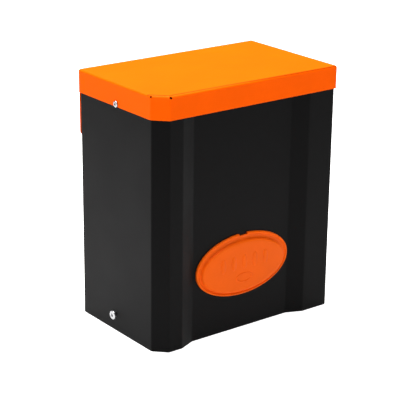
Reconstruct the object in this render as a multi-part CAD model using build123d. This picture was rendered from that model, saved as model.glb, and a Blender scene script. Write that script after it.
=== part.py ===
from build123d import *
import os
from math import atan, cos, degrees, pi, radians, sin, tan

# Sliding-gate operator in a folded steel housing. Millimetres. +Z is up, the front is -Y, the
# drive pinion stands out of the back, +Y. The origin is in the middle of the footprint, on the
# surface that the base plate rests on.

# Housing and lid
housing_width = 300.0
housing_depth = 185.0
overall_height = 358.0
sheet = 1.5
fold_radius = 4.0
step_fold_radius = 7.0
corner_cut = 17.0
recess_depth = 10.0
recess_run = 24.0
recess_width = 167.4
recess_x = -3.3
rear_return = 20.0
rim_width = 14.0
shell_foot_gap = 1.0
panel_edge_gap = 0.5
gasket_thickness = 3.0
gasket_width = 7.0
gasket_inset = 3.5
lid_sheet = 1.5
lid_gap = 0.5
lid_skirt = 32.0
lid_rear_flange = 94.0
lid_fold_radius = 3.0
flange_corner_radius = 6.0
flange_inset = 2.4
relief_radius = 1.7
lid_screw_y = 1.0
lid_screw_rise = 3.8
lid_slot_width = 5.0
side_screw_y = 15.0
side_screw_z = 22.5
vent_pitch = 14.0
vent_count = 4
vent_length = 150.0
vent_height = 4.0
vent_drop = 20.0
panel_screw_low = 22.0
panel_screw_drop = 24.0

# Base plate
base_thickness = 6.0
base_edge_gap = 0.4
base_end_gap = 2.5
base_panel_gap = 1.0
base_flange_height = 36.0
base_flange_thickness = 4.0
anchor_spacing_x = 240.0
anchor_spacing_y = 120.0
anchor_slot_width = 11.0
anchor_slot_length = 26.0
cable_window_x = 82.0
cable_window_y = -46.0
cable_window_length = 42.0
cable_window_width = 34.0
window_corner_radius = 6.0
grommet_wall = 2.0
grommet_lip = 3.0

# Drive: worm, wheel, shafts
output_x = -1.8
output_z = 97.0
wheel_y = 10.0
module = 3.0
wheel_teeth = 30
wheel_face = 24.0
wheel_rim = 7.0
wheel_hub_wall = 5.0
wheel_dish = 5.0
worm_pitch_radius = 18.0
worm_turns = 6
thread_thickness = 4.1
gap_thickness = 5.3
flank_angle = 20.0
shaft_radius = 12.5
front_journal_radius = 10.0
shoulder_radius = 16.0
shoulder_length = 6.0
running_gap = 0.05
seat_gap = 0.02
rotor_gap = 0.5
release_travel = 6.5
push_rod_radius = 5.0
spring_wire_radius = 0.7
spring_coils = 6
coil_gap = 0.35
rod_gap = 0.2
pin_slot_gap = 0.15
pressure_angle = 20.0
backlash_angle = 0.004
cross_pin_radius = 3.0
clutch_radius = 28.0
clutch_length = 11.5
clutch_face_gap = 0.6
dog_count = 4
dog_length = 5.0
dog_inner_radius = 17.0
dog_outer_radius = 25.0
dog_angle = 24.0
dog_clearance = 1.0

# Ball bearings: bore, outside diameter, width
rear_bearing_size = (25.0, 52.0, 15.0)
front_bearing_size = (20.0, 42.0, 12.0)
worm_top_bearing_size = (20.0, 47.0, 14.0)
worm_foot_bearing_size = (17.0, 40.0, 12.0)
rotor_bearing_size = (15.0, 35.0, 11.0)
seal_width = 7.0

# Pinion
pinion_module = 4.0
pinion_teeth = 17
pinion_width = 28.0
pinion_stand_off = 5.0
pinion_opening_gap = 4.0
key_width = 8.0
key_height = 7.0
washer_radius = 17.0
washer_thickness = 4.0
bolt_head_radius = 8.0
bolt_head_height = 5.5
pinion_bolt_radius = 4.0
pinion_bolt_length = 22.0

# Gear case
case_wall = 6.0
case_side = 58.0
case_worm_side = 32.0
case_bottom_z = 36.0
case_top_z = 160.0
cavity_clearance = 3.0
cavity_front = -20.0
cavity_back = 43.0
boss_radius = 33.0
boss_inset = 2.0
foot_thickness = 10.0
foot_bolt_inset = 12.0
foot_front = -42.0
foot_back = 86.0
cover_thickness = 8.0
cover_half = 58.0
cover_bolt_offset = 48.0
web_thickness = 10.0
case_corner = 9.0
foot_corner = 8.0
pedestal_overlap = 12.0
rib_angles = (35, 145)
rib_length = 40.0
rib_thickness = 6.0
rib_setback = 14.0
worm_runout = 10.0
oil_plug_size = (5.0, 8.5, 6.0)
oil_plug_length = 9.0
oil_plug_ring = 1.5
oil_plug_inset = 16.0
bearing_boss_wall = 5.0
cover_rib = (24.0, 2.5, 4.0)
cover_rib_radius = 38.0

# Motor
motor_side = 112.0
motor_corner = 20.0
bell_height = 26.0
bell_floor = 8.0
bell_bore_radius = 50.0
top_bell_height = 34.0
stator_height = 80.0
stator_bore_radius = 31.0
winding_inner_radius = 34.0
winding_outer_radius = 48.0
winding_height = 14.0
winding_gap = 1.0
tie_rod_offset = 44.0
tie_rod_radius = 2.5
rod_thread = 8.0
tie_rod_head = (tie_rod_radius, 4.5, 4.0)
end_ring_height = 6.0
lead_hole_radius = 4.0

# Release
cap_half_width = 80.2
cap_half_height = 45.2
cap_rim = 3.0
cap_face_inset = 8.0
cap_lip_thickness = 3.2
cap_face_rise = 3.0
cap_wall = 2.0
cap_groove_floor = 1.6
cap_skirt_inset = 7.0
cap_skirt_depth = 12.0
cap_skirt_gap = 1.0
cap_notch_width = 14.5
cap_notch_depth = 3.4
cap_face_drop = 2.5
tray_wall = 2.0
tray_depth = 30.0
tray_flange = 6.0
tray_hole_radius = 20.0
bush_radius = 13.0
bush_flange_radius = 22.0
bush_flange = 5.0
bush_length = 26.0
spindle_radius = 7.0
spindle_clearance = 1.5
knob_radius = 17.0
knob_height = 14.0
knob_wing_length = 64.0
knob_wing_width = 13.0
knob_lift = 8.0
pad_radius = 6.0
pad_length = 4.0
rod_end_gap = 0.3

# Electronics
bracket_y = -12.5
bracket_left = 2.0
bracket_foot_left = 66.0
bracket_side_gap = 7.5
bracket_shoulder_z = 172.0
bracket_top_gap = 22.0
bracket_foot_depth = 24.0
bracket_stiffener = 16.0
bracket_screw_inset = 12.0
board_inset = 6.0
board_thickness = 1.6
board_height = 140.0
standoff_length = 4.5
standoff_radius = 3.0
standoff_inset = 6.0
button_radius = 1.75
button_travel = 0.3
button_height = 1.6
switch_side = 6.0
switch_height = 3.5
capacitor_radius = 19.0
capacitor_length = 78.0
terminal_pitch = 5.0
terminal_ways = 6
terminal_size = (10.0, 12.0)
terminal_rise = 2.0
terminal_starts = (14.0, 48.0, 82.0)
relay_size = (19.0, 15.5, 15.0)
relay_row = 26.0
relay_starts = (12.0, 35.0, 58.0)
# Cans: x, z, radius, length. Chips: x, z, width, height, depth. From the board's lower left corner.
can_spots = ((68.0, 108.0, 9.0, 25.0), (90.0, 108.0, 9.0, 25.0), (68.0, 84.0, 5.0, 12.0))
chip_spots = (
    (30.0, 58.0, 14.0, 14.0, 2.0), (52.0, 60.0, 6.0, 8.0, 1.6), (12.0, 62.0, 10.0, 6.0, 1.6),
    (86.0, 28.0, 18.0, 12.0, 3.0), (92.0, 76.0, 8.0, 6.0, 1.6),
)
switch_starts = (74.0, 90.0)
switch_row = 68.0
capacitor_rise = 60.0
clip_rise = 28.0
clip_height = 12.0
clip_ear = 9.0
sensor_width = 60.0
sensor_depth = 15.0
sensor_seat = 8.0
sensor_screw_inset = 7.0
sensor_height = 22.0
sensor_z = 152.0

# Screws: thread radius, head radius, head height
lid_screw = (2.0, 4.4, 2.4)
lid_screw_length = 10.0
side_screw_length = 14.0
side_screw = (3.0, 6.5, 3.0)
small_screw = (1.5, 2.9, 1.8)
panel_screw = (2.0, 4.0, 2.4)
cover_bolt = (3.0, 5.0, 6.0)
foot_bolt = (4.0, 6.5, 5.3)
nut_height = 5.0

# Proportions that every screw, nut and bearing shares
head_rounding = 0.45
socket_depth = 0.6
hex_ratio = 1.15
washer_ratio = 1.35
nut_ratio = 1.9
ball_ratio = 0.27
ring_ratio = 0.3
groove_gap = 0.1

# Places that follow from the sizes above
left, right = -housing_width / 2, housing_width / 2
front, back = -housing_depth / 2, housing_depth / 2
panel_y = front + recess_depth
lid_over = lid_gap + lid_sheet
shell_top = overall_height - lid_sheet - gasket_thickness
lid_bottom = overall_height - lid_skirt
lid_screw_z = lid_bottom + lid_screw_rise
wheel_pitch_radius = module * wheel_teeth / 2
wheel_tip_radius = wheel_pitch_radius + module
wheel_root_radius = wheel_pitch_radius - 1.25 * module
worm_tip_radius = worm_pitch_radius + module
worm_root_radius = worm_pitch_radius - 1.25 * module
axial_pitch = pi * module
lead_angle = degrees(atan(module / (2 * worm_pitch_radius)))
worm_x = output_x - wheel_pitch_radius - worm_pitch_radius
wheel_front = wheel_y - wheel_face / 2
wheel_back = wheel_y + wheel_face / 2
clutch_front = wheel_back + clutch_face_gap
pin_y = clutch_front + clutch_length / 2
base_front = panel_y + sheet + base_end_gap
base_back = back - 2 * sheet - base_panel_gap
bearing_back = back - boss_inset
case_left = worm_x - case_worm_side
case_right = output_x + case_side
bell_top = case_top_z + bell_height
stator_top = bell_top + stator_height
motor_top = stator_top + top_bell_height
pinion_front = back + pinion_stand_off
pinion_back = pinion_front + pinion_width
seal_front = bearing_back - seal_width
rear_bearing_front = seal_front - rear_bearing_size[2]
cover_front = cavity_front - cover_thickness
pad_front = cover_front
bush_front = cover_front - bush_length
knob_back = bush_front - knob_lift
knob_front = knob_back - knob_height
rod_front = pad_front + pad_length + rod_end_gap
shaft_front = pad_front + pad_length + release_travel + 1.0
worm_top_z = case_top_z - 2.0 - worm_top_bearing_size[2]
bracket_right = right - sheet - bracket_side_gap
bracket_top = shell_top - bracket_top_gap
board_left, board_right = bracket_left + board_inset, bracket_right - board_inset
board_top = bracket_top - board_inset
board_bottom = board_top - board_height
board_back = bracket_y - sheet - standoff_length
board_face = board_back - board_thickness


def block(x0, x1, y0, y1, z0, z1):
    """A box between two corners."""
    return Pos((x0 + x1) / 2, (y0 + y1) / 2, (z0 + z1) / 2) * Box(x1 - x0, y1 - y0, z1 - z0)


def post(x, y, z0, z1, radius):
    """A round bar along Z."""
    return Pos(x, y, (z0 + z1) / 2) * Cylinder(radius, z1 - z0)


def bar_y(x, z, y0, y1, radius):
    """A round bar along Y."""
    return Pos(x, (y0 + y1) / 2, z) * Rot(90, 0, 0) * Cylinder(radius, y1 - y0)


def bar_x(y, z, x0, x1, radius):
    """A round bar along X."""
    return Pos((x0 + x1) / 2, y, z) * Rot(0, 90, 0) * Cylinder(radius, x1 - x0)


def on_output(y0, y1, radius):
    """A round bar on the output shaft's axis."""
    return bar_y(output_x, output_z, y0, y1, radius)


def oval_bar(y0, y1, half_width, half_height, drop=0.0):
    """An elliptical bar along Y, centred on the output shaft's axis."""
    plane = Plane((output_x, y1, output_z - drop), x_dir=(1, 0, 0), z_dir=(0, -1, 0))
    return extrude(plane * Ellipse(half_width, half_height), amount=y1 - y0)


def group(*solids):
    """Separate solids that share one node."""
    return Compound(children=list(solids))


def screw(size, length, drive=0.4):
    """A button-head socket screw along -Z, its head's underside at the origin."""
    thread, head, height = size
    body = Pos(0, 0, height / 2) * Cylinder(head, height)
    body = fillet(body.edges().sort_by(Axis.Z)[-1], height * head_rounding)
    body += Pos(0, 0, -length / 2) * Cylinder(thread, length)
    socket = extrude(Pos(0, 0, height) * RegularPolygon(head * drive, 6), amount=-height * socket_depth)
    return body - socket


def hex_bolt(size, length, washer):
    """A hexagon-head bolt and its washer along -Z, the washer's underside at the origin."""
    thread, head, height = size
    head_block = extrude(Pos(0, 0, washer) * RegularPolygon(head * hex_ratio, 6), amount=height)
    bolt = head_block + Pos(0, 0, (washer - length) / 2) * Cylinder(thread, length + washer)
    disc = Pos(0, 0, washer / 2) * (Cylinder(head * washer_ratio, washer) - Cylinder(thread, washer))
    return bolt, disc


def hex_nut(size, height):
    """A hexagon nut on the XY plane, its thread's hole through it."""
    body = extrude(RegularPolygon(size * nut_ratio, 6), amount=height)
    return body - Pos(0, 0, height / 2) * Cylinder(size, height)


def ball_bearing(size, balls=8):
    """A ball bearing on the XY plane: two rings with grooves, and the balls between them."""
    bore, outside, width = size
    inner, outer = bore / 2 + running_gap, outside / 2 - seat_gap
    middle, radius = (inner + outer) / 2, (outer - inner) * ball_ratio
    wall = (outer - inner) * ring_ratio
    lift = Pos(0, 0, width / 2)
    groove = lift * Torus(middle, radius + groove_gap)
    inner_ring = lift * (Cylinder(inner + wall, width) - Cylinder(inner, width)) - groove
    outer_ring = lift * (Cylinder(outer, width) - Cylinder(outer - wall, width)) - groove
    places = PolarLocations(middle, balls)
    spheres = [lift * place * Sphere(radius) for place in places]
    return group(inner_ring, outer_ring, *spheres)


def bearing_on_y(size, y):
    """A ball bearing on the output shaft, its front face at y."""
    return Pos(output_x, y, output_z) * Rot(-90, 0, 0) * ball_bearing(size)


def bearing_on_z(size, z):
    """A ball bearing on the worm shaft, its lower face at z."""
    return Pos(worm_x, wheel_y, z) * ball_bearing(size)


# ---- Housing -------------------------------------------------------------------------------

def footprint(inset=0.0, recessed=True):
    """The housing's outline, seen from above, moved in by inset."""
    x0, x1, y0, y1 = left + inset, right - inset, front + inset, back - inset
    cut = corner_cut - inset * (2 - 2**0.5)
    steps = [
        recess_x - recess_width / 2 - recess_run,
        recess_x - recess_width / 2,
        recess_x + recess_width / 2,
        recess_x + recess_width / 2 + recess_run,
    ]
    slide = inset * (1 - cos(atan(recess_depth / recess_run))) / sin(atan(recess_depth / recess_run))
    points = [(x0, y1), (x0, y0 + cut), (x0 + cut, y0)]
    if recessed:
        points += [(steps[0] - slide, y0), (steps[1] - slide, y0 + recess_depth)]
        points += [(steps[2] + slide, y0 + recess_depth), (steps[3] + slide, y0)]
    points += [(x1, y0), (x1, y1)]
    return points


def rounded(points, radii):
    """A closed face with the given corner radii, one for each point."""
    face = make_face(Polyline(*points, close=True))
    for point, radius in zip(points, radii):
        corner = face.vertices().sort_by_distance(Vector(*point, 0))[0]
        face = fillet(corner, radius)
    return face


def shell_face(inset):
    """The housing's outline with its folds rounded, moved in by inset."""
    outer = fold_radius - inset
    step_in, step_out = step_fold_radius + inset, step_fold_radius - inset
    radii = [outer, outer, outer, step_out, step_in, step_in, step_out, outer, outer]
    return rounded(footprint(inset), radii)


def lid_face(inset):
    """The lid's outline, moved in by inset from its outside."""
    radius = lid_fold_radius - inset + 1.0
    return rounded(footprint(inset - lid_over, recessed=False), [radius] * 5)


def housing_shell():
    height = shell_top - shell_foot_gap
    base = Pos(0, 0, shell_foot_gap)
    shell = extrude(base * shell_face(0), amount=height) - extrude(base * shell_face(sheet), amount=height)
    shell -= block(left + rear_return, right - rear_return, back - 2 * sheet, back + 1, 0, shell_top - sheet)
    rim = extrude(Pos(0, 0, shell_top - sheet) * shell_face(0), amount=sheet)
    rim -= block(
        left + rim_width, right - rim_width,
        panel_y + rim_width, back - rim_width,
        shell_top - 2 * sheet, shell_top + 1,
    )
    shell += rim
    shell -= oval_bar(panel_y - 1, panel_y + 2 * sheet, *cap_opening())
    for side in (left, right):
        shell -= bar_x(side_screw_y, side_screw_z, side - 3, side + 3, side_screw[0])
        shell -= bar_x(lid_screw_y, lid_screw_z, side - 3, side + 3, lid_screw[0])
    for x, z in panel_screw_places():
        shell -= bar_y(x, z, back - 2 * sheet, back + 1, panel_screw[0])
    return shell


def cap_opening():
    """Half width and half height of the oval hole that the cap's skirt pushes into."""
    inset = cap_skirt_inset - cap_skirt_gap
    return cap_half_width - inset, cap_half_height - inset


def panel_screw_places():
    """Where the rear panel's screws are: three up each side, below the lid's rear flange."""
    low, high = panel_screw_low, overall_height - lid_rear_flange - panel_screw_drop
    return [(s * (right - rear_return / 2 - 1), z) for s in (-1, 1) for z in (low, (low + high) / 2, high)]


def rear_panel():
    side = right - fold_radius - panel_edge_gap
    top = shell_top - sheet - panel_edge_gap
    panel = block(-side, side, back - 2 * sheet, back - sheet, shell_foot_gap, top)
    radius = pinion_clearance()
    panel -= block(output_x - radius, output_x + radius, back - 3 * sheet, back, 0, output_z)
    panel -= on_output(back - 3 * sheet, back, radius)
    first = overall_height - lid_rear_flange + vent_drop
    for row in range(vent_count):
        z = first + row * vent_pitch
        slot = Plane.XZ * SlotOverall(vent_length, vent_height)
        panel -= Pos(0, back, z) * extrude(slot, amount=3 * sheet)
    for x, z in panel_screw_places():
        panel -= bar_y(x, z, back - 3 * sheet, back, panel_screw[0])
    for x, z in sensor_screw_places():
        panel -= bar_y(x, z, back - 3 * sheet, back, small_screw[0])
    panel -= bar_y(output_x, sensor_z + sensor_height / 2, back - 3 * sheet, back, lead_hole_radius)
    return panel


def pinion_clearance():
    """Radius of the rear panel's opening round the output boss and the pinion."""
    return pinion_module * (pinion_teeth + 2) / 2 + pinion_opening_gap


def panel_screws():
    one = Rot(-90, 0, 0) * screw(panel_screw, 2 * sheet + 3.0)
    return group(*[Pos(x, back, z) * one for x, z in panel_screw_places()])


def lid_gasket():
    """A foam ring on the housing's top rim, which the lid's underside rests on."""
    z = shell_top
    ring = extrude(Pos(0, 0, z) * shell_face(gasket_inset), amount=gasket_thickness)
    inner = gasket_inset + gasket_width
    ring -= block(left + inner, right - inner, panel_y + inner, back - inner, z - 1, overall_height)
    return ring


def side_screws():
    return group(*[
        Pos(side * right, side_screw_y, side_screw_z)
        * Rot(0, 90 * side, 0)
        * screw(side_screw, side_screw_length)
        for side in (-1, 1)
    ])


def side_nuts():
    """Rivet nuts inside the base plate's side flanges."""
    x = right - sheet - base_edge_gap - base_flange_thickness
    return [
        Pos(side * x, side_screw_y, side_screw_z)
        * Rot(0, -90 * side, 0)
        * hex_nut(side_screw[0], nut_height)
        for side in (-1, 1)
    ]


def lid_screws():
    return group(*[
        Pos(side * (right + lid_over), lid_screw_y, lid_screw_z)
        * Rot(0, 90 * side, 0)
        * screw(lid_screw, lid_screw_length)
        for side in (-1, 1)
    ])


def lid_nuts():
    """Rivet nuts that the lid's screws run into."""
    return [
        Pos(side * (right - sheet), lid_screw_y, lid_screw_z)
        * Rot(0, -90 * side, 0)
        * hex_nut(lid_screw[0], nut_height)
        for side in (-1, 1)
    ]


def lid():
    outside = extrude(Pos(0, 0, lid_bottom) * lid_face(0), amount=lid_skirt)
    outside = fillet(outside.edges().group_by(Axis.Z)[-1], lid_fold_radius)
    inside = extrude(Pos(0, 0, lid_bottom) * lid_face(lid_sheet), amount=lid_skirt - lid_sheet)
    inside = fillet(inside.edges().group_by(Axis.Z)[-1], lid_fold_radius - lid_sheet)
    pan = outside - inside
    flange_side, bottom = right + lid_over - flange_inset, overall_height - lid_rear_flange
    plate = Pos(0, back + lid_over, 0) * extrude(
        Plane.XZ * Pos(0, (bottom + lid_bottom) / 2 + 2.0)
        * Rectangle(2 * flange_side, lid_bottom - bottom + 4.0),
        amount=lid_sheet,
    )
    corners = plate.edges().filter_by(Axis.Y).sort_by(Axis.Z)[:2]
    pan += fillet(corners, flange_corner_radius)
    for side in (left, right):
        out = side + (lid_over if side > 0 else -lid_over)
        pan -= bar_x(lid_screw_y, lid_screw_z, out - 3, out + 3, lid_slot_width / 2)
        pan -= block(
            out - 3, out + 3, lid_screw_y - lid_slot_width / 2, lid_screw_y + lid_slot_width / 2,
            lid_bottom - 1, lid_screw_z,
        )
    depth = lid_fold_radius * 0.5
    for x, y in footprint(-lid_over, recessed=False)[1:3]:
        inward = Vector(-x, -y, 0).normalized()
        spot = Vector(x, y, overall_height - depth) + inward * depth
        aim = Plane(spot, z_dir=-inward + Vector(0, 0, 1))
        pan -= aim * Cylinder(relief_radius, 5 * lid_sheet)
    return pan


# ---- Base ----------------------------------------------------------------------------------

def base_plate():
    side = right - sheet - base_edge_gap
    y0, y1 = base_front, base_back
    plate = block(-side, side, y0, y1, 0, base_thickness)
    for x in (-side, side - base_flange_thickness):
        plate += block(x, x + base_flange_thickness, y0, y1, 0, base_flange_height)
    plate &= extrude(shell_face(sheet + base_edge_gap), amount=base_flange_height)
    slot = SlotOverall(anchor_slot_length, anchor_slot_width)
    for place in GridLocations(anchor_spacing_x, anchor_spacing_y, 2, 2):
        plate -= Pos(0, 0, -1) * place * extrude(slot, amount=base_thickness + 2)
    window = RectangleRounded(cable_window_length, cable_window_width, window_corner_radius)
    plate -= Pos(cable_window_x, cable_window_y, -1) * extrude(window, amount=base_thickness + 2)
    for x in (left, right):
        plate -= bar_x(side_screw_y, side_screw_z, x - 10, x + 10, side_screw[0])
    for x, y in foot_bolt_places():
        plate -= post(x, y, -1, base_thickness + 1, foot_bolt[0])
    for x, y in bracket_screw_places():
        plate -= post(x, y, -1, base_thickness + 1, panel_screw[0])
    return plate


def cable_grommet():
    """A rubber edging in the cable window: a channel that grips the plate from both sides."""
    wall, lip = grommet_wall, grommet_lip
    size = (cable_window_length, cable_window_width)
    tube = RectangleRounded(*size, window_corner_radius)
    hole = RectangleRounded(size[0] - 2 * wall, size[1] - 2 * wall, window_corner_radius - wall)
    collar = RectangleRounded(size[0] + 2 * lip, size[1] + 2 * lip, window_corner_radius + lip)
    at = Pos(cable_window_x, cable_window_y, 0)
    body = at * extrude(tube, amount=base_thickness)
    body += at * Pos(0, 0, base_thickness) * extrude(collar, amount=wall)
    return body - at * Pos(0, 0, -1) * extrude(hole, amount=base_thickness + wall + 2)


# ---- Gear case -----------------------------------------------------------------------------

def foot_bolt_places():
    xs = (case_left + foot_bolt_inset, case_right - foot_bolt_inset)
    ys = (foot_front + foot_bolt_inset, foot_back - foot_bolt_inset)
    return [(x, y) for x in xs for y in ys]


def gear_case():
    z0 = base_thickness
    case = block(case_left, case_right, cavity_front, cavity_back + case_wall, case_bottom_z, case_top_z)
    case = fillet(case.edges().filter_by(Axis.Y), case_corner)
    pedestal = block(
        case_left, case_right, cavity_front, cavity_back + case_wall, z0, case_bottom_z + pedestal_overlap
    )
    pedestal -= block(
        case_left + case_wall, case_right - case_wall,
        cavity_front + case_wall, cavity_back, z0 - 1, case_bottom_z,
    )
    foot = block(case_left, case_right, foot_front, foot_back, z0, z0 + foot_thickness)
    foot = fillet(foot.edges().filter_by(Axis.Z), foot_corner)
    foot -= block(
        case_left + case_wall, case_right - case_wall,
        cavity_front + case_wall, cavity_back, 0, case_bottom_z,
    )
    case += [pedestal, foot, on_output(cavity_back, bearing_back, boss_radius)]
    half_web = web_thickness / 2
    case += block(output_x - half_web, output_x + half_web, cavity_back, foot_back - 2, z0, output_z - 25)
    rib_back = foot_back - rib_setback
    for angle in rib_angles:
        rib = Pos(rib_length / 2, 0, 0) * Box(rib_length, rib_back - cavity_back, rib_thickness)
        spot = Pos(output_x, (cavity_back + rib_back) / 2, output_z) * Rot(0, -angle, 0)
        room = block(case_left, case_right, cavity_back, bearing_back, case_bottom_z, case_top_z)
        case += spot * rib & room
    case -= on_output(cavity_front - 1, cavity_back, wheel_tip_radius + cavity_clearance)
    case -= on_output(cavity_back - 1, bearing_back, shoulder_radius + 2)
    case -= on_output(rear_bearing_front, bearing_back + 1, rear_bearing_size[1] / 2)
    foot_z = worm_foot_z()
    bore_low = foot_z + worm_foot_bearing_size[2]
    case -= post(worm_x, wheel_y, foot_z, bore_low + 1, worm_foot_bearing_size[1] / 2)
    case -= post(worm_x, wheel_y, bore_low, case_top_z + 1, worm_top_bearing_size[1] / 2)
    for x, z in cover_bolt_places():
        case -= bar_y(x, z, cavity_front - 1, cavity_front + 8, cover_bolt[0])
    for x, y in foot_bolt_places():
        case -= post(x, y, z0 - 1, z0 + foot_thickness + 1, foot_bolt[0])
    for x, y in tie_rod_places():
        if reaches_case(x):
            case -= post(x, y, case_top_z - rod_thread, case_top_z + 1, tie_rod_radius)
    case -= post(*oil_plug_place(), case_top_z - 20, case_top_z + 1, oil_plug_size[0])
    return case


def worm_foot_z():
    """Underside of the worm shaft's lower bearing."""
    return output_z - worm_turns / 2 * axial_pitch - worm_foot_bearing_size[2] - worm_runout


def cover_bolt_places():
    o = cover_bolt_offset
    return [(output_x + i * o, output_z + j * o) for i in (-1, 1) for j in (-1, 1)]


def oil_plug_place():
    return (case_right - oil_plug_inset, wheel_y)


def oil_plug():
    """The filler plug in the gear case's top, with its sealing ring."""
    x, y = oil_plug_place()
    bolt, ring = hex_bolt(oil_plug_size, oil_plug_length, oil_plug_ring)
    return Pos(x, y, case_top_z) * group(bolt, ring)


def gear_case_cover():
    o = cover_half
    plate = block(output_x - o, output_x + o, cover_front, cavity_front, output_z - o, output_z + o)
    plate = fillet(plate.edges().filter_by(Axis.Y), case_corner)
    seat_back = cavity_front + front_bearing_size[2] + 2.0
    plate += on_output(cavity_front, seat_back, front_bearing_size[1] / 2 + bearing_boss_wall)
    plate -= on_output(cavity_front, seat_back + 1, front_bearing_size[1] / 2)
    plate -= on_output(cover_front - 1, seat_back, pad_radius + spindle_clearance)
    for angle in range(0, 360, 45):
        rib = Pos(cover_rib_radius, 0, 0) * Box(*cover_rib)
        plate += Pos(output_x, cover_front - cover_rib[1] / 2, output_z) * Rot(0, angle, 0) * rib
    for x, z in cover_bolt_places():
        plate -= bar_y(x, z, cover_front - 1, cavity_front + 1, cover_bolt[0])
    for x, z in bush_screw_places():
        plate -= bar_y(x, z, cover_front - 1, cover_front + 6, small_screw[0])
    return plate


def cover_bolts():
    one = Rot(90, 0, 0) * screw(cover_bolt, cover_thickness + 8.0, 0.6)
    return group(*[Pos(x, cover_front, z) * one for x, z in cover_bolt_places()])


def foot_bolts():
    z = base_thickness + foot_thickness
    parts = []
    for x, y in foot_bolt_places():
        for piece in hex_bolt(foot_bolt, z - 1.0, 1.6):
            parts.append(Pos(x, y, z) * piece)
    return group(*parts)


def shaft_seal():
    """The lip seal behind the rear bearing."""
    outside = rear_bearing_size[1] / 2
    seal = on_output(seal_front + 0.5, bearing_back, outside)
    seal -= on_output(seal_front, bearing_back + 1, shaft_radius + running_gap)
    hollow = on_output(seal_front, bearing_back - 2.5, outside - 4)
    seal -= hollow - on_output(seal_front, bearing_back, shaft_radius + 3)
    return seal


# ---- Output shaft, wheel, clutch and pinion --------------------------------------------------

def output_shaft():
    shaft = on_output(wheel_front, pinion_back, shaft_radius)
    shaft += on_output(wheel_front - shoulder_length, wheel_front, shoulder_radius)
    shaft += on_output(shaft_front, wheel_front - shoulder_length, front_journal_radius)
    shaft -= on_output(shaft_front - 1, spring_back(), push_rod_radius + rod_gap)
    half = cross_pin_radius + pin_slot_gap
    shaft -= block(
        output_x - 20, output_x + 20, pin_y - half, pin_y + half + release_travel,
        output_z - half, output_z + half,
    )
    shaft -= on_output(pinion_back - pinion_bolt_length, pinion_back + 1, pinion_bolt_radius)
    seat = key_seat()
    return shaft - block(*seat)


def key_seat():
    """The pinion key's block, half in the shaft and half in the pinion."""
    z = output_z + shaft_radius - key_height * 0.55
    inset = 2.0
    return (
        output_x - key_width / 2, output_x + key_width / 2,
        pinion_front + inset, pinion_back - inset, z, z + key_height,
    )


def rod_back():
    return pin_y + cross_pin_radius + 3.0


def spring_back():
    """Bottom of the shaft's blind bore, which the return spring stands on."""
    pressed = spring_coils * (2 * spring_wire_radius + coil_gap) + 2 * spring_wire_radius
    return rod_back() + release_travel + pressed + 0.5


def pinion_key():
    return block(*key_seat())


def pinion_profile():
    """Spur gear outline with involute flanks, on the XY plane."""
    pitch = pinion_module * pinion_teeth / 2
    pressure = radians(pressure_angle)
    base, tip, root = pitch * cos(pressure), pitch + pinion_module, pitch - 1.25 * pinion_module
    half_tooth = pi / (2 * pinion_teeth) + tan(pressure) - pressure - backlash_angle

    def flank(radius, side):
        turn = ((radius / base) ** 2 - 1) ** 0.5 if radius > base else 0.0
        angle = half_tooth - (turn - atan(turn))
        return (radius * cos(side * angle), radius * sin(side * angle))

    radii = [base + (tip - base) * k / 3 for k in range(4)]
    tooth = Spline(*[flank(r, -1) for r in radii])
    tooth += ThreePointArc(flank(tip, -1), (tip, 0), flank(tip, 1))
    tooth += Spline(*[flank(r, 1) for r in reversed(radii)])
    deep, side = (root - 1.0) * cos(half_tooth), (root - 1.0) * sin(half_tooth)
    tooth += Polyline(flank(base, 1), (deep, side), (deep, -side), flank(base, -1))
    return make_face(tooth), root


def pinion():
    tooth, root = pinion_profile()
    blank = Cylinder(root, pinion_width, align=(Align.CENTER, Align.CENTER, Align.MIN))
    one = extrude(tooth, amount=pinion_width)
    gear = blank + [Rot(0, 0, 360 * k / pinion_teeth) * one for k in range(pinion_teeth)]
    gear = Pos(output_x, pinion_front, output_z) * Rot(-90, 0, 0) * gear
    gear -= on_output(pinion_front - 1, pinion_back + 1, shaft_radius)
    return gear - block(*key_seat())


def pinion_spacer():
    """The sleeve between the rear bearing's seal and the pinion."""
    y0 = bearing_back + 1.0
    return on_output(y0, pinion_front, shoulder_radius) - on_output(y0, pinion_front, shaft_radius)


def pinion_bolt():
    """The bolt and thick washer that hold the pinion on the shaft."""
    size = (pinion_bolt_radius, bolt_head_radius, bolt_head_height)
    bolt = hex_bolt(size, pinion_bolt_length - 1.0, washer_thickness)[0]
    disc = Pos(0, 0, washer_thickness / 2) * (
        Cylinder(washer_radius, washer_thickness) - Cylinder(pinion_bolt_radius, washer_thickness)
    )
    return Pos(output_x, pinion_back, output_z) * Rot(-90, 0, 0) * group(bolt, disc)


def tooth_gap():
    """The space between two wheel teeth: a straight trapezoid, tilted by the worm's lead angle."""
    slope = tan(radians(flank_angle))
    low, high = wheel_root_radius, wheel_tip_radius + 2.0
    narrow = gap_thickness / 2 + (low - wheel_pitch_radius) * slope
    wide = gap_thickness / 2 + (high - wheel_pitch_radius) * slope
    corners = [(-low, narrow), (-high, wide), (-high, -wide), (-low, -narrow)]
    section = make_face(Polyline(*corners, close=True))
    bar = extrude(Plane.XZ * section, amount=wheel_face, both=True)
    return Rot(lead_angle, 0, 0) * bar


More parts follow.
